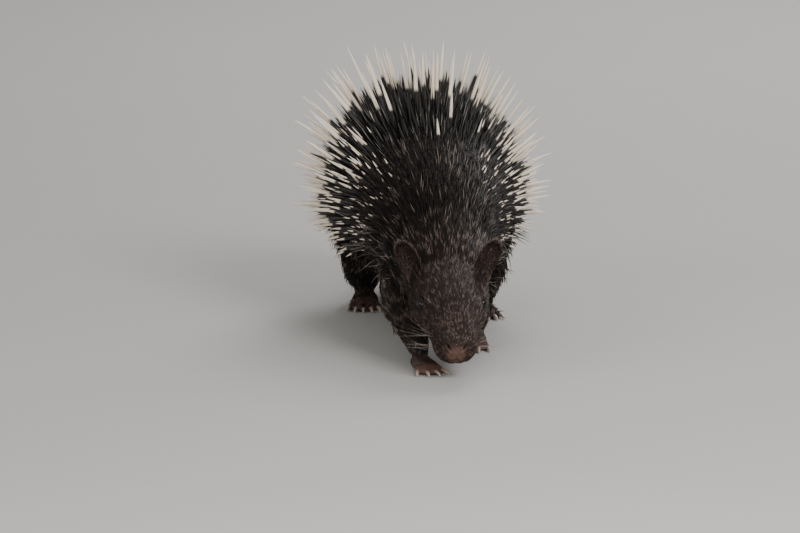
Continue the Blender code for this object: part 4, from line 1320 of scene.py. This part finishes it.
class PORCUPINE_OT_eyes(bpy.types.Operator):
    """Make both eyes with their corneas, and the lids round them"""

    bl_idname = "porcupine.eyes"
    bl_label = "Eyes and lids"

    def execute(self, context):
        colours = context.scene.porcupine_colours
        wet, hide = eye_material(colours), skin_material(colours)
        for side, word in ((1, "left"), (-1, "right")):
            rings, off_axis = eye_rings(side)
            eye = new_object(f"eyeball_{word}", new_mesh("eyeball", *closed_grid(rings)))
            poles = [off_axis[0] * 0, off_axis[-1]]
            values = np.concatenate([np.repeat(off_axis, rings.shape[1]), poles])
            set_values(eye.data, "from_pupil", values)
            finish_piece(eye, wet, [f"eye_{word}"])
            points, quads = lid_ring(side)
            lids = new_object(f"lids_{word}", new_mesh("lids", points, quads))
            set_values(lids.data, "bare", np.full(len(points), 0.10))
            # The lids' own dark skin, given through the same channel as the painted shade of nostrils
            # and mouth.
            set_values(lids.data, "shade_and_dark_lid", np.full(len(points), 0.90))
            finish_piece(lids, hide)
        return {"FINISHED"}


def eye_rings(side):
    """Rings of an eyeball from its cornea back: a ball of radius R + bulge exp(-(a / 0.6)^2)."""
    middle, normal, _, up = eye_frame(side)
    a = np.linspace(0.06, math.pi - 0.06, 28)[:, None, None]
    b = np.linspace(0, 2 * math.pi, 36, endpoint=False)[None, :, None]
    radius = EYE_RADIUS + CORNEA_BULGE * np.exp(-((a / 0.6) ** 2))
    hand = np.cross(up, normal)
    rings = middle + radius * (
        normal * np.cos(a) + hand * np.sin(a) * np.cos(b) - up * np.sin(a) * np.sin(b)
    )
    return rings, a.ravel()


def lid_ring(side):
    """An almond ring that hugs the eyeball.

    Round the almond (A cos b, C |sin b|^1.15) the ring's section is a flat ellipse, from the
    margin on the eyeball out to its sunken outer edge. The upper lid is the heavier one.
    """
    middle, normal, back, up = eye_frame(side)
    b = np.linspace(0, 2 * math.pi, 56, endpoint=False)[:, None]
    c = np.linspace(0, 2 * math.pi, 14, endpoint=False)[None]
    x = LID_HALF_LENGTH * np.cos(b)
    y = LID_HALF_HEIGHT * np.sign(np.sin(b)) * np.abs(np.sin(b)) ** 1.15
    upper = np.clip(np.sin(b), 0, 1)
    length = 0.0008 + 0.0003 * upper
    thick = 0.0004 + 0.0002 * upper
    out = length * (1 + np.cos(c))
    r = np.hypot(x, y)
    grown = 1 + out / np.maximum(r, 1e-6)
    px, py = x * grown, y * grown
    surface = np.sqrt(np.clip((EYE_RADIUS + 0.0003) ** 2 - x**2 - y**2, 0, None))
    height = surface + thick * np.sin(c) - 0.55 * out
    points = (
        middle
        + back * px[:, :, None]
        + up * py[:, :, None]
        + normal * height[:, :, None]
    )
    rows, columns = points.shape[:2]
    i, j = np.meshgrid(np.arange(rows), np.arange(columns), indexing="ij")
    i, j = i.ravel(), j.ravel()
    n, k = (i + 1) % rows, (j + 1) % columns
    quads = np.column_stack([i * columns + j, n * columns + j, n * columns + k, i * columns + k])
    if np.cross(back, up) @ normal < 0:
        quads = quads[:, ::-1]
    return points.reshape(-1, 3), quads


class PORCUPINE_OT_claws(bpy.types.Operator):
    """Make the claws of each foot as curved, ridged horn"""

    bl_idname = "porcupine.claws"
    bl_label = "Claws"

    def execute(self, context):
        horn = horn_material(context.scene.porcupine_colours)
        for name in LEGS:
            foot = name.replace("leg", "paw")
            parts, along = [], []
            for path, _, way in toe_paths(name):
                rings, shares = claw_rings(path[-1], way)
                parts.append(closed_grid(rings))
                along += [np.repeat(shares, rings.shape[1]), [0.0, 1.0]]
            claws = new_object(f"claws_{foot}", new_mesh("claws", *joined(parts)))
            set_values(claws.data, "along", np.concatenate(along))
            nodes = [f"{foot}_claw_{k + 1}" for k in range(LEGS[name][1]["toes"])]
            finish_piece(claws, horn, nodes)
        return {"FINISHED"}


def claw_rings(end, way):
    """Rings of one claw. It runs ahead by t and falls by t^2.2, and narrows as sqrt(1 - t)."""
    t = np.linspace(0, 1, 16)
    length = CLAW_LENGTH + 0.003
    path = end + way * (length * t - 0.003)[:, None]
    path[:, 2] = end[2] + 0.0008 * np.sin(math.pi * t) - (end[2] - 0.0012) * t**2.2
    radii = CLAW_RADIUS * np.sqrt(1 - 0.97 * t**1.6)
    return tube(path, radii, 14, np.cross(way, (0, 0, 1)), 0.85), t


class PORCUPINE_OT_short_fur(bpy.types.Operator):
    """Grow the short fur of face, head, legs, feet and ears"""

    bl_idname = "porcupine.short_fur"
    bl_label = "Short fur"

    def execute(self, context):
        colours = context.scene.porcupine_colours
        full = context.scene.porcupine_sizes.fullness
        fur = fur_material(
            colours, "short fur", colours.fur_root, colours.fur_tip, colours.grizzle, 0.60, 0.64, 0.18
        )
        draw = np.random.default_rng(SEED)
        skin = surface_of("skin")
        grow_face(draw, skin, int(TUFTS["face"] * full), fur)
        grow_head(draw, skin, int(TUFTS["head"] * full), fur)
        grow_legs(draw, skin, int(TUFTS["legs"] * full), fur)
        grow_ears(draw, int(TUFTS["ears"] * full), fur)
        return {"FINISHED"}


# The way the fur of the head lies, seen from its side.
HEAD_LIE = (0, 0.92, 0.39)


def away_from_eyes(points):
    """0 on the eyes and 1 from the edge of the lids outwards."""
    keep = np.ones(len(points))
    for side in (-1, 1):
        middle, normal, back, up = eye_frame(side)
        q = points - middle
        r = np.hypot(q @ back / LID_HALF_LENGTH, q @ up / LID_HALF_HEIGHT)
        keep *= np.where(q @ normal > -0.006, smooth_step(1.25, 1.55, r), 1)
    return keep


def short_by_eyes(points):
    """How short the fur is near the eyes: a quarter by the lids, full from 16 mm off."""
    eyes = np.array([eye_frame(side)[0] for side in (-1, 1)])
    return 0.25 + 0.75 * smooth_step(0.006, 0.016, nearest(points, eyes)[0])


def grow_coat(name, roots, place, grown, finish, values):
    """Makes the left and right piece of a coat from its tufts."""
    points, shares, sides = grown
    for word, keep in (("left", roots[:, 0] >= 0), ("right", roots[:, 0] < 0)):
        own = {k: v[keep] for k, v in values.items()}
        bake = bake_place(place)[keep]
        mesh = tuft_mesh(name, (points[keep], shares, sides), bake, own)
        finish_piece(new_object(f"{name}_{word}", mesh), finish)


def grow_face(draw, skin, count, fur):
    """Short bristly fur from the nose to the cheeks, lying back from the nose."""
    def density(points):
        nose = np.where(points[:, 1] < 0.012, smooth_step(0.55, 1.35, around_nose(points)), 1)
        lips = smooth_step(0.0012, 0.0030, nearest(points, mouth_path())[0])
        inside = (points[:, 1] < 0.090) * (points[:, 2] > 0.008)
        paw = smooth_step(0.020, 0.028, nearest(points, foot_points())[0])
        fall = 1 - smooth_step(0.070, 0.090, points[:, 1])
        small = 1 + 0.6 * (1 - smooth_step(0.02, 0.05, points[:, 1]))
        open_ = np.where(points[:, 1] < 0.02, smooth_step(1.5, 2.4, from_nostrils(points)), 1)
        paw = paw * (1 - place_on_body(points)["on_leg"])
        return inside * nose * open_ * small * lips * away_from_eyes(points) * paw * fall

    roots, normals = scatter(draw, skin, count, density)
    place = place_on_body(roots)
    s = place["s"]
    table = {"nose": 0.0016, "muzzle": 0.0040, "snout": 0.0064, "eyes": 0.0088, "cheek": 0.0110}
    length = by_station(table, s) * draw.uniform(0.7, 1.15, len(s)) * short_by_eyes(roots)
    width = np.interp(length, (0.001, 0.010), (0.00042, 0.00080))
    lift = np.radians(draw.uniform(12, 26, len(s)))
    ways = combed(draw, roots, normals, place["way"], 0.14, 0.009, 0.07)
    gather, lock = in_locks(draw, roots, count // 12, 0.55, HEAD_LIE)
    grown = tufts(roots, normals, ways, length, width, lift, 0.35, ((0, 1.0), (0.45, 0.85)),
                  sink=0.0005, gather=gather)
    values = body_values(place, draw, lock)
    values["rosy"] = 1 - smooth_step(0.004, 0.030, roots[:, 1])
    grow_coat("fur_face", roots, place, grown, fur, values)


def grow_head(draw, skin, count, fur):
    """Longer fur on cheeks, crown and throat, growing towards the neck."""
    def density(points):
        rise = smooth_step(0.066, 0.082, points[:, 1])
        fall = 1 - smooth_step(0.120, 0.150, points[:, 1])
        return rise * fall * (points[:, 2] > 0.03) * (1 - place_on_body(points)["on_leg"])

    roots, normals = scatter(draw, skin, count, density)
    place = place_on_body(roots)
    s = place["s"]
    length = by_station({"eyes": 0.0070, "cheek": 0.0105, "occiput": 0.0145, "neck": 0.020}, s)
    ears = np.array([ear_frame(side)[0] for side in (-1, 1)])
    length = length * (1 + 0.6 * np.exp(-((nearest(roots, ears)[0] / 0.014) ** 2)))
    length = length * draw.uniform(0.7, 1.15, len(s))
    width = np.interp(length, (0.006, 0.020), (0.0007, 0.0010))
    lift = np.radians(draw.uniform(14, 32, len(s)))
    ways = combed(draw, roots, normals, place["way"], 0.20, 0.011, 0.10)
    gather, lock = in_locks(draw, roots, count // 10, 0.60, HEAD_LIE)
    grown = tufts(roots, normals, ways, length, width, lift, 0.40, ((0, 1.0), (0.5, 0.8)),
                  sink=0.0008, gather=gather)
    values = body_values(place, draw, lock)
    grow_coat("fur_head", roots, place, grown, fur, values)


def grow_legs(draw, skin, count, fur):
    """Short dark fur down the legs and over the feet, smallest on the toes."""
    def density(points):
        place = place_on_body(points)
        sole = smooth_step(0.0025, 0.006, points[:, 2])
        return place["on_leg"] * sole * (1 + 1.6 * (place["down"] > 1))

    roots, normals = scatter(draw, skin, count, density)
    keep = normals[:, 2] > -0.75
    roots, normals = roots[keep], normals[keep]
    place = place_on_body(roots)
    down = place["down"] + smooth_step(0.022, 0.010, roots[:, 2])
    length = np.interp(down, (0.0, 0.7, 1.0, 1.3, 2.2), (0.012, 0.009, 0.007, 0.0045, 0.0024))
    length = length * draw.uniform(0.75, 1.15, len(down))
    width = np.interp(length, (0.002, 0.012), (0.00045, 0.0010))
    lift = np.radians(draw.uniform(10, 24, len(down)))
    ways = combed(draw, roots, normals, place["way"], 0.2, 0.01, 0.14)
    gather, lock = in_locks(draw, roots, count // 8, 0.50, (0, 0.3, 1))
    grown = tufts(roots, normals, ways, length, width, lift, 0.30, ((0, 1.0), (0.5, 0.8)),
                  sink=0.0006, gather=gather)
    values = body_values(place, draw, lock)
    grow_coat("fur_legs", roots, place, grown, fur, values)


def grow_ears(draw, count, fur):
    """Short hair on the backs and rims of the ears, and sparse hair inside them."""
    for side, word in ((1, "left"), (-1, "right")):
        root, grow, front, _ = ear_frame(side)

        def density(points, root=root, grow=grow):
            return smooth_step(0.001, 0.006, (points - root) @ grow)

        roots, normals = scatter(draw, surface_of(f"ear_cup_{word}"), count // 2, density)
        keep = (normals @ front < 0.2) | (draw.random(len(roots)) < 0.20)
        roots, normals = roots[keep], normals[keep]
        place = place_on_body(roots)
        ways = np.broadcast_to(grow, roots.shape)
        length = draw.uniform(0.0040, 0.0085, len(roots))
        lift = np.radians(draw.uniform(8, 26, len(roots)))
        grown = tufts(roots, normals, ways, length, 0.0005, lift, 0.3, ((0, 1.0), (0.5, 0.8)),
                      sink=0.0003)
        values = body_values(place, draw)
        values["face"] = np.full(len(roots), 0.8)
        mesh = tuft_mesh("ear fur", grown, bake_place(place), values)
        finish_piece(new_object(f"fur_ear_{word}", mesh), fur)


class PORCUPINE_OT_bristles(bpy.types.Operator):
    """Grow the bristles of neck, shoulders, flanks, belly and tail, and the black spines"""

    bl_idname = "porcupine.bristles"
    bl_label = "Bristles"

    def execute(self, context):
        colours = context.scene.porcupine_colours
        full = context.scene.porcupine_sizes.fullness
        root, tip = colours.bristle_root, colours.bristle_tip
        bristle = fur_material(colours, "bristle", root, tip, colours.grizzle, 0.56, 0.80, 0.12)
        draw = np.random.default_rng(SEED + 1)
        skin = surface_of("skin")
        grow_neck(draw, skin, int(TUFTS["neck"] * full), bristle)
        grow_flanks(draw, skin, int(TUFTS["flanks"] * full), bristle)
        # The black spines' grizzled ends take the Glint colour: painted glints, partly real pale tips.
        black = fur_material(
            colours, "black spine", root, colours.spine_tip, colours.glint, 0.46, 0.80, 0.12
        )
        grow_spines(draw, skin, int(TUFTS["spines"] * full), black)
        return {"FINISHED"}


# Width along a bristle and along two kinds of quill, as (share of the length, of the width).
LONG_LEVELS = ((0, 0.85), (0.35, 1.0), (0.72, 0.62))
SPINE_LEVELS = ((0, 0.8), (0.3, 0.96), (0.6, 1.0), (0.82, 0.72), (0.94, 0.30))
QUILL_LEVELS = (
    (0, 0.72),
    (0.12, 0.82),
    (0.35, 0.96),
    (0.55, 1.0),
    (0.68, 0.92),
    (0.80, 0.68),
    (0.91, 0.36),
    (0.975, 0.12),
)


def grow_neck(draw, skin, count, bristle):
    """Bristles from the crown over the neck and shoulders, longer towards the back."""
    def density(points):
        place = place_on_body(points)
        rise = smooth_step(AT["occiput"] - 0.012, AT["nape"], place["s"])
        fall = 1 - smooth_step(AT["chest"], AT["back"], place["s"])
        above = 1 - smooth_step(125, 150, place["degrees"])
        return rise * fall * (0.35 + 0.65 * above) * (1 - place["on_leg"])

    roots, normals = scatter(draw, skin, count, density)
    place = place_on_body(roots)
    s, n = place["s"], len(roots)
    table = {"occiput": 0.012, "nape": 0.018, "neck": 0.024, "shoulder": 0.030, "chest": 0.036,
             "back": 0.042}
    share = np.interp(place["degrees"], (0, 60, 110, 150), (1, 0.95, 0.75, 0.55))
    length = by_station(table, s) * share * draw.uniform(0.65, 1.12, n)
    width = np.interp(length, (0.010, 0.045), (0.0008, 0.0013))
    lift = np.radians(by_station({"occiput": 18, "neck": 22, "chest": 30, "back": 40}, s))
    lift = lift + np.radians(draw.uniform(-9, 9, n))
    ways = combed(draw, roots, normals, place["way"], 0.22, 0.018, 0.10)
    gather, lock = in_locks(draw, roots, count // 6, 0.60)
    grown = tufts(roots, normals, ways, length, width, lift, 0.25, LONG_LEVELS, gather=gather)
    values = body_values(place, draw, lock)
    grow_coat("bristles_neck", roots, place, grown, bristle, values)


def grow_flanks(draw, skin, count, bristle):
    """Hair of the lower flanks and the belly, which also hangs over the tops of the legs."""
    def density(points):
        place = place_on_body(points)
        rise = smooth_step(AT["shoulder"] - 0.03, AT["chest"], place["s"])
        fall = 1 - smooth_step(AT["tail_root"] - 0.01, AT["tail_root"] + 0.01, place["s"])
        low = smooth_step(75, 100, place["degrees"])
        belly = 1 - 0.45 * smooth_step(140, 160, place["degrees"])
        return rise * fall * low * belly * (1 - 0.8 * place["on_leg"])

    roots, normals = scatter(draw, skin, count, density)
    place = place_on_body(roots)
    n = len(roots)
    length = np.interp(place["degrees"], (75, 100, 130, 160), (0.036, 0.028, 0.018, 0.011))
    length = length * draw.uniform(0.65, 1.15, n)
    width = np.interp(length, (0.010, 0.036), (0.0009, 0.0014))
    lift = np.radians(np.interp(place["degrees"], (75, 110, 160), (34, 22, 14)))
    lift = lift + np.radians(draw.uniform(-8, 8, n))
    fallen = unit(place["way"] + np.array([0, 0, -0.35]))
    ways = combed(draw, roots, normals, fallen, 0.25, 0.02, 0.12)
    gather, lock = in_locks(draw, roots, count // 6, 0.60)
    grown = tufts(roots, normals, ways, length, width, lift, 0.35, LONG_LEVELS, gather=gather)
    values = body_values(place, draw, lock)
    grow_coat("bristles_flank", roots, place, grown, bristle, values)


def grow_spines(draw, skin, count, black):
    """Short black spines that fill the coat between the long quills."""
    def density(points):
        place = place_on_body(points)
        rise = smooth_step(AT["shoulder"], AT["chest"], place["s"])
        fall = 1 - smooth_step(AT["tail_root"] - 0.012, AT["tail_root"], place["s"])
        above = 1 - smooth_step(95, 125, place["degrees"])
        rear = 1 + 1.6 * smooth_step(0.35, 0.60, coat_place(place["s"]))
        return rise * fall * above * rear * (1 - place["on_leg"])

    roots, normals = scatter(draw, skin, count, density)
    place = place_on_body(roots)
    length = quill_length(place["s"], place["degrees"]) * draw.uniform(0.36, 0.66, len(roots))
    width = np.interp(length, (0.015, 0.080), (0.0009, 0.0021))
    lift = quill_lift(draw, place["s"], -10, 8)
    ways = combed(draw, roots, normals, place["way"], 0.12, 0.03, 0.12)
    grown = tufts(roots, normals, ways, length, width, lift, 0.12, LONG_LEVELS, sink=0.002)
    values = body_values(place, draw)
    grow_coat("spines_back", roots, place, grown, black, values)


class PORCUPINE_OT_quills(bpy.types.Operator):
    """Set the long and short quills of back and flanks in staggered rows, and the tail's"""

    bl_idname = "porcupine.quills"
    bl_label = "Quills"

    def execute(self, context):
        sizes = context.scene.porcupine_sizes
        quill = quill_material(context.scene.porcupine_colours)
        draw = np.random.default_rng(SEED + 2)
        back_quills(draw, sizes, quill)
        black_quills(draw, sizes, quill)
        tail_quills(draw, sizes, quill)
        flank_quills(draw, sizes, quill)
        return {"FINISHED"}


def staggered(draw, first, last, along, around, widest):
    """Roots in staggered rows on the trunk: distance along it and angle from its top."""
    rows = int(round((last - first) / along))
    found = []
    for i in range(rows):
        s = first + (i + 0.5) * (last - first) / rows
        row = trunk_frame(np.array([s]))[3][0]
        arc = math.radians(widest)
        count = max(3, int(round(arc * (2 * row[2] + row[3] + row[4]) / 2 / around)))
        step = (np.arange(count) + 0.25 + 0.5 * (i % 2) + draw.uniform(-0.3, 0.3, count)) / count
        ahead = draw.uniform(-0.3, 0.3, count) * along
        found.append(np.column_stack([s + ahead, arc * (2 * step - 1)]))
    return np.concatenate(found).T


def set_on_trunk(name, s, angle, grown, values, finish):
    """Makes a piece of quills or hairs that stand at those places on the trunk."""
    nought = np.zeros(len(s))
    place = {"s": s, "angle": angle, "on_leg": nought, "leg": nought, "down": nought}
    mesh = tuft_mesh(name, grown, bake_place(place), values)
    finish_piece(new_object(name, mesh), finish)


def back_quills(draw, sizes, quill):
    """The long pale-pointed quills of the back and flanks."""
    first = AT["neck"] + 0.30 * (AT["tail_root"] - AT["neck"])
    s, angle = staggered(draw, first, AT["tail_root"] - 0.006, *BACK_SPACING, 126)
    normals, back = trunk_normals(s, angle)
    roots = trunk_point(s, angle, -0.002)
    where, degrees = coat_place(s), np.degrees(np.abs(angle))
    n = len(s)
    length = quill_length(s, degrees) * draw.uniform(0.82, 1.11, n)
    rear = smooth_step(0.40, 0.56, where)
    flank = smooth_step(35, 60, degrees)
    pale = draw.random(n) < 0.04 + 0.86 * np.maximum(rear, 0.65 * flank)
    length = np.where(pale, length, length * 0.66)
    width = sizes.quill_width * np.interp(length, (0.03, 0.09), (0.62, 1.0))
    width = width * draw.uniform(0.85, 1.1, n)
    lift = quill_lift(draw, s, -6, 6)
    ways = turned(back, normals, draw.normal(0, 0.09, n))
    grown = tufts(roots, normals, ways, length, width, lift, 0.08, QUILL_LEVELS, sides=8,
                  sink=0.003)
    ivory = sizes.ivory_length * draw.uniform(0.75, 1.15, n)
    ivory = np.minimum(ivory, length * np.interp(length, (0.035, 0.07), (0.27, 0.49)))
    values = {"tone": draw.random(n) ** 1.5, "ivory_from": np.where(pale, 1 - ivory / length, 2)}
    set_on_trunk("quills_back", s, angle, grown, values, quill)


def black_quills(draw, sizes, quill):
    """Thick dark quills between the pale-pointed ones, up to where those turn pale."""
    first = AT["neck"] + 0.36 * (AT["tail_root"] - AT["neck"])
    s, angle = staggered(draw, first, AT["tail_root"] - 0.010, *BLACK_SPACING, 112)
    normals, back = trunk_normals(s, angle)
    n = len(s)
    length = quill_length(s, np.degrees(np.abs(angle))) * draw.uniform(0.48, 0.70, n)
    width = sizes.quill_width * np.interp(length, (0.03, 0.08), (0.50, 0.85))
    lift = quill_lift(draw, s, -8, 8)
    ways = turned(back, normals, draw.normal(0, 0.11, n))
    grown = tufts(trunk_point(s, angle, -0.002), normals, ways, length, width, lift, 0.08,
                  SPINE_LEVELS, sides=6, sink=0.003)
    values = {"tone": draw.random(n), "ivory_from": np.full(n, 2.0)}
    set_on_trunk("quills_black", s, angle, grown, values, quill)


def tail_quills(draw, sizes, quill):
    """Paler, thinner quills round the tail, shorter and paler towards its end."""
    s, angle = staggered(draw, AT["tail_root"] + 0.004, TRUNK_LENGTH - 0.004, *TAIL_SPACING, 165)
    normals, back = trunk_normals(s, angle)
    n = len(s)
    share = (s - AT["tail_root"]) / (TRUNK_LENGTH - AT["tail_root"])
    length = np.interp(share, (0, 0.6, 1), (0.060, 0.048, 0.034))
    round_share = np.interp(np.degrees(np.abs(angle)), ROUND_DEGREES, ROUND_SHARE)
    length = length * (0.55 + 0.45 * round_share) * draw.uniform(0.7, 1.05, n)
    lift = np.radians(draw.uniform(16, 34, n))
    ways = turned(back, normals, draw.normal(0, 0.12, n))
    grown = tufts(trunk_point(s, angle, -0.002), normals, ways, length,
                  sizes.quill_width * draw.uniform(0.45, 0.85, n), lift, 0.05, QUILL_LEVELS,
                  sides=8, sink=0.002)
    values = {"tone": draw.random(n), "ivory_from": np.interp(share, (0, 0.5, 1), (0.6, 0.4, 0.1))}
    set_on_trunk("quills_tail", s, angle, grown, values, quill)


def flank_quills(draw, sizes, quill):
    """Short thin quills with small white points, from behind the shoulders over the flanks."""
    torso = AT["tail_root"] - AT["neck"]
    first, last = AT["neck"] + 0.14 * torso, AT["neck"] + 0.70 * torso
    s, angle = staggered(draw, first, last, *FLANK_SPACING, 104)
    keep = draw.random(len(s)) < 0.55 * smooth_step(26, 44, np.degrees(np.abs(angle)))
    s, angle = s[keep], angle[keep]
    normals, back = trunk_normals(s, angle)
    n = len(s)
    length = quill_length(s, np.degrees(np.abs(angle))) * draw.uniform(0.60, 0.95, n)
    length = np.clip(length, 0.026, 0.052)
    width = sizes.quill_width * draw.uniform(0.38, 0.56, n)
    lift = quill_lift(draw, s, 0, 14)
    ways = turned(back, normals, draw.normal(0, 0.13, n))
    grown = tufts(trunk_point(s, angle, -0.002), normals, ways, length, width, lift, 0.06,
                  SPINE_LEVELS, sides=6, sink=0.002)
    values = {"tone": draw.random(n), "ivory_from": draw.uniform(0.66, 0.84, n)}
    set_on_trunk("quills_flank", s, angle, grown, values, quill)


class PORCUPINE_OT_long_hairs(bpy.types.Operator):
    """Set the whiskers, the thin white bristles of the flanks and the curly neck hairs"""

    bl_idname = "porcupine.long_hairs"
    bl_label = "Whiskers and long hairs"

    def execute(self, context):
        draw = np.random.default_rng(SEED + 3)
        pale = whisker_material(context.scene.porcupine_colours)
        longest = context.scene.porcupine_sizes.whisker_length
        for name, (count, near, far, low, high, length, width, lift, droop, slot) in LONG_HAIRS.items():
            side = np.tile([1, -1], count // 2)
            s = draw.uniform(AT[near[0]] + near[1], AT[far[0]] + far[1], count)
            angle = side * np.radians(draw.uniform(low, high, count))
            normals, back = trunk_normals(s, angle)
            roots = trunk_point(s, angle, -by_station(FUR_DEPTH, s))
            ways = turned(back, normals, draw.normal(0, 0.25, count))
            levels = [(t, 1 - 0.85 * t) for t in np.linspace(0, 0.94, 10)]
            grown = tufts(
                roots, normals, ways, longest * length * draw.uniform(0.5, 1.0, count), width,
                np.radians(draw.uniform(*lift, count)), draw.uniform(*droop, count), levels,
                sides=5, sway=draw.uniform(-0.12, 0.12, count),
            )
            set_on_trunk(name, s, angle, grown, {"tone": draw.random(count)}, pale)
        return {"FINISHED"}


# Long hairs: how many, from which station (and how far past it) to which, the degrees from
# the top, the length as a share of the longest whisker, the width, and the degrees they
# rise at their roots, how far they bend, and their slot.
LONG_HAIRS = {
    "whiskers": (24, ("nose", 0.012), ("nose", 0.030), 78, 120, 1.0, 0.00028, (50, 84), (0.0, 0.9),
                 "face_fur"),
    "brow_whiskers": (4, ("eyes", -0.014), ("eyes", -0.008), 38, 46, 0.36, 0.00024, (62, 80),
                      (0.2, 0.7), "face_fur"),
    "white_bristles": (36, ("chest", 0.0), ("loin", 0.0), 92, 132, 1.1, 0.00085, (26, 52),
                       (0.0, 0.4), "dark_fur"),
    "neck_hairs": (48, ("neck", -0.01), ("chest", 0.0), 84, 128, 0.75, 0.00060, (38, 66),
                   (0.9, 2.2), "dark_fur"),
}


class PORCUPINE_OT_stage(bpy.types.Operator):
    """Set the pale floor, the soft lights and the camera at the photo's angle"""

    bl_idname = "porcupine.stage"
    bl_label = "Stage"

    def execute(self, context):
        settings = context.scene.porcupine_stage
        corners = FLOOR_HALF * np.array([[-1, -1, 0], [1, -1, 0], [1, 1, 0], [-1, 1, 0]], float)
        floor = new_object("floor", new_mesh("floor", corners, np.array([[0, 1, 2, 3]])))
        floor.data.materials.append(floor_material(context.scene.porcupine_colours))
        world = bpy.data.worlds.new("studio")
        world.use_nodes = True
        background = world.node_tree.nodes["Background"]
        background.inputs["Color"].default_value = ROOM_COLOUR
        background.inputs["Strength"].default_value = ROOM_STRENGTH
        context.scene.world = world
        for name, (place, size, power) in LAMPS.items():
            lamp = bpy.data.lights.new(name, "AREA")
            lamp.size = size
            lamp.energy = power
            holder = bpy.data.objects.new(name, lamp)
            context.scene.collection.objects.link(holder)
            holder.location = place
            holder.rotation_euler = (LAMPS_AIM - Vector(place)).to_track_quat("-Z", "Y").to_euler()
        camera = bpy.data.objects.new("camera", bpy.data.cameras.new("camera"))
        context.scene.collection.objects.link(camera)
        camera.data.sensor_width = SENSOR_WIDTH
        camera.data.lens = settings.lens
        camera.data.clip_end = 100
        place_camera(camera, settings)
        context.scene.camera = camera
        return {"FINISHED"}


FLOOR_HALF = 12
ROOM_COLOUR = (1.0, 0.985, 0.96, 1)
ROOM_STRENGTH = 0.42
# Soft lamps: place, size across and power in watts, all turned to one point of the body.
LAMPS = {
    "front": ((-0.22, -1.9, 0.42), 0.55, 8),
    "key": ((1.3, -2.3, 1.9), 1.3, 72),
    "fill": ((-2.4, -1.6, 1.2), 2.0, 26),
    "rim": ((0.9, 2.4, 1.9), 1.2, 45),
}
LAMPS_AIM = Vector((0, 0, 0.10))
# Width of the camera's sensor in mm, and where the tip of the nose stands in the 800 by
# 533 picture, in pixels from its middle.
SENSOR_WIDTH = 36
NOSE_RIGHT = 57.0
NOSE_BELOW = 85.5
PICTURE_WIDTH = 800


def place_camera(camera, settings):
    """Puts the camera so that the nose comes where the photo has it."""
    nose = trunk_point(0.0, 0.0) + OFFSET
    a, e = settings.azimuth, settings.elevation
    out = np.array([math.sin(a) * math.cos(e), -math.cos(a) * math.cos(e), math.sin(e)])
    right = np.array([math.cos(a), math.sin(a), 0.0])
    up = np.cross(out, right)
    step = settings.distance * camera.data.sensor_width / settings.lens / PICTURE_WIDTH
    middle = nose - right * NOSE_RIGHT * step + up * NOSE_BELOW * step
    camera.location = middle + out * settings.distance
    camera.rotation_euler = Vector(-out).to_track_quat("-Z", "Y").to_euler()


class PORCUPINE_PT_panel(bpy.types.Panel):
    """Lists the steps and sizes in the sidebar"""

    bl_idname = "PORCUPINE_PT_panel"
    bl_label = "Porcupine"
    bl_space_type = "VIEW_3D"
    bl_region_type = "UI"
    bl_category = "Porcupine"

    def draw(self, context):
        layout = self.layout
        for group in ("porcupine_sizes", "porcupine_colours", "porcupine_stage"):
            settings = getattr(context.scene, group)
            box = layout.box()
            for name in settings.__annotations__:
                box.prop(settings, name)
        for step in STEPS:
            layout.operator(step.bl_idname)


STEPS = (
    PORCUPINE_OT_skin,
    PORCUPINE_OT_ears,
    PORCUPINE_OT_eyes,
    PORCUPINE_OT_claws,
    PORCUPINE_OT_short_fur,
    PORCUPINE_OT_bristles,
    PORCUPINE_OT_quills,
    PORCUPINE_OT_long_hairs,
    PORCUPINE_OT_stage,
)
CLASSES = (PorcupineColours, PorcupineSizes, PorcupineStage, *STEPS, PORCUPINE_PT_panel)


def register():
    """Registers the classes and hangs their settings on the scene."""
    for one in CLASSES:
        bpy.utils.register_class(one)
    bpy.types.Scene.porcupine_colours = bpy.props.PointerProperty(type=PorcupineColours)
    bpy.types.Scene.porcupine_sizes = bpy.props.PointerProperty(type=PorcupineSizes)
    bpy.types.Scene.porcupine_stage = bpy.props.PointerProperty(type=PorcupineStage)


def unregister():
    """Takes the settings and the classes away again."""
    for name in ("porcupine_colours", "porcupine_sizes", "porcupine_stage"):
        delattr(bpy.types.Scene, name)
    for one in reversed(CLASSES):
        bpy.utils.unregister_class(one)


def main():
    """Makes every piece in order."""
    register()
    for step in STEPS:
        group, name = step.bl_idname.split(".")
        getattr(getattr(bpy.ops, group), name)()


if __name__ == "__main__":
    main()
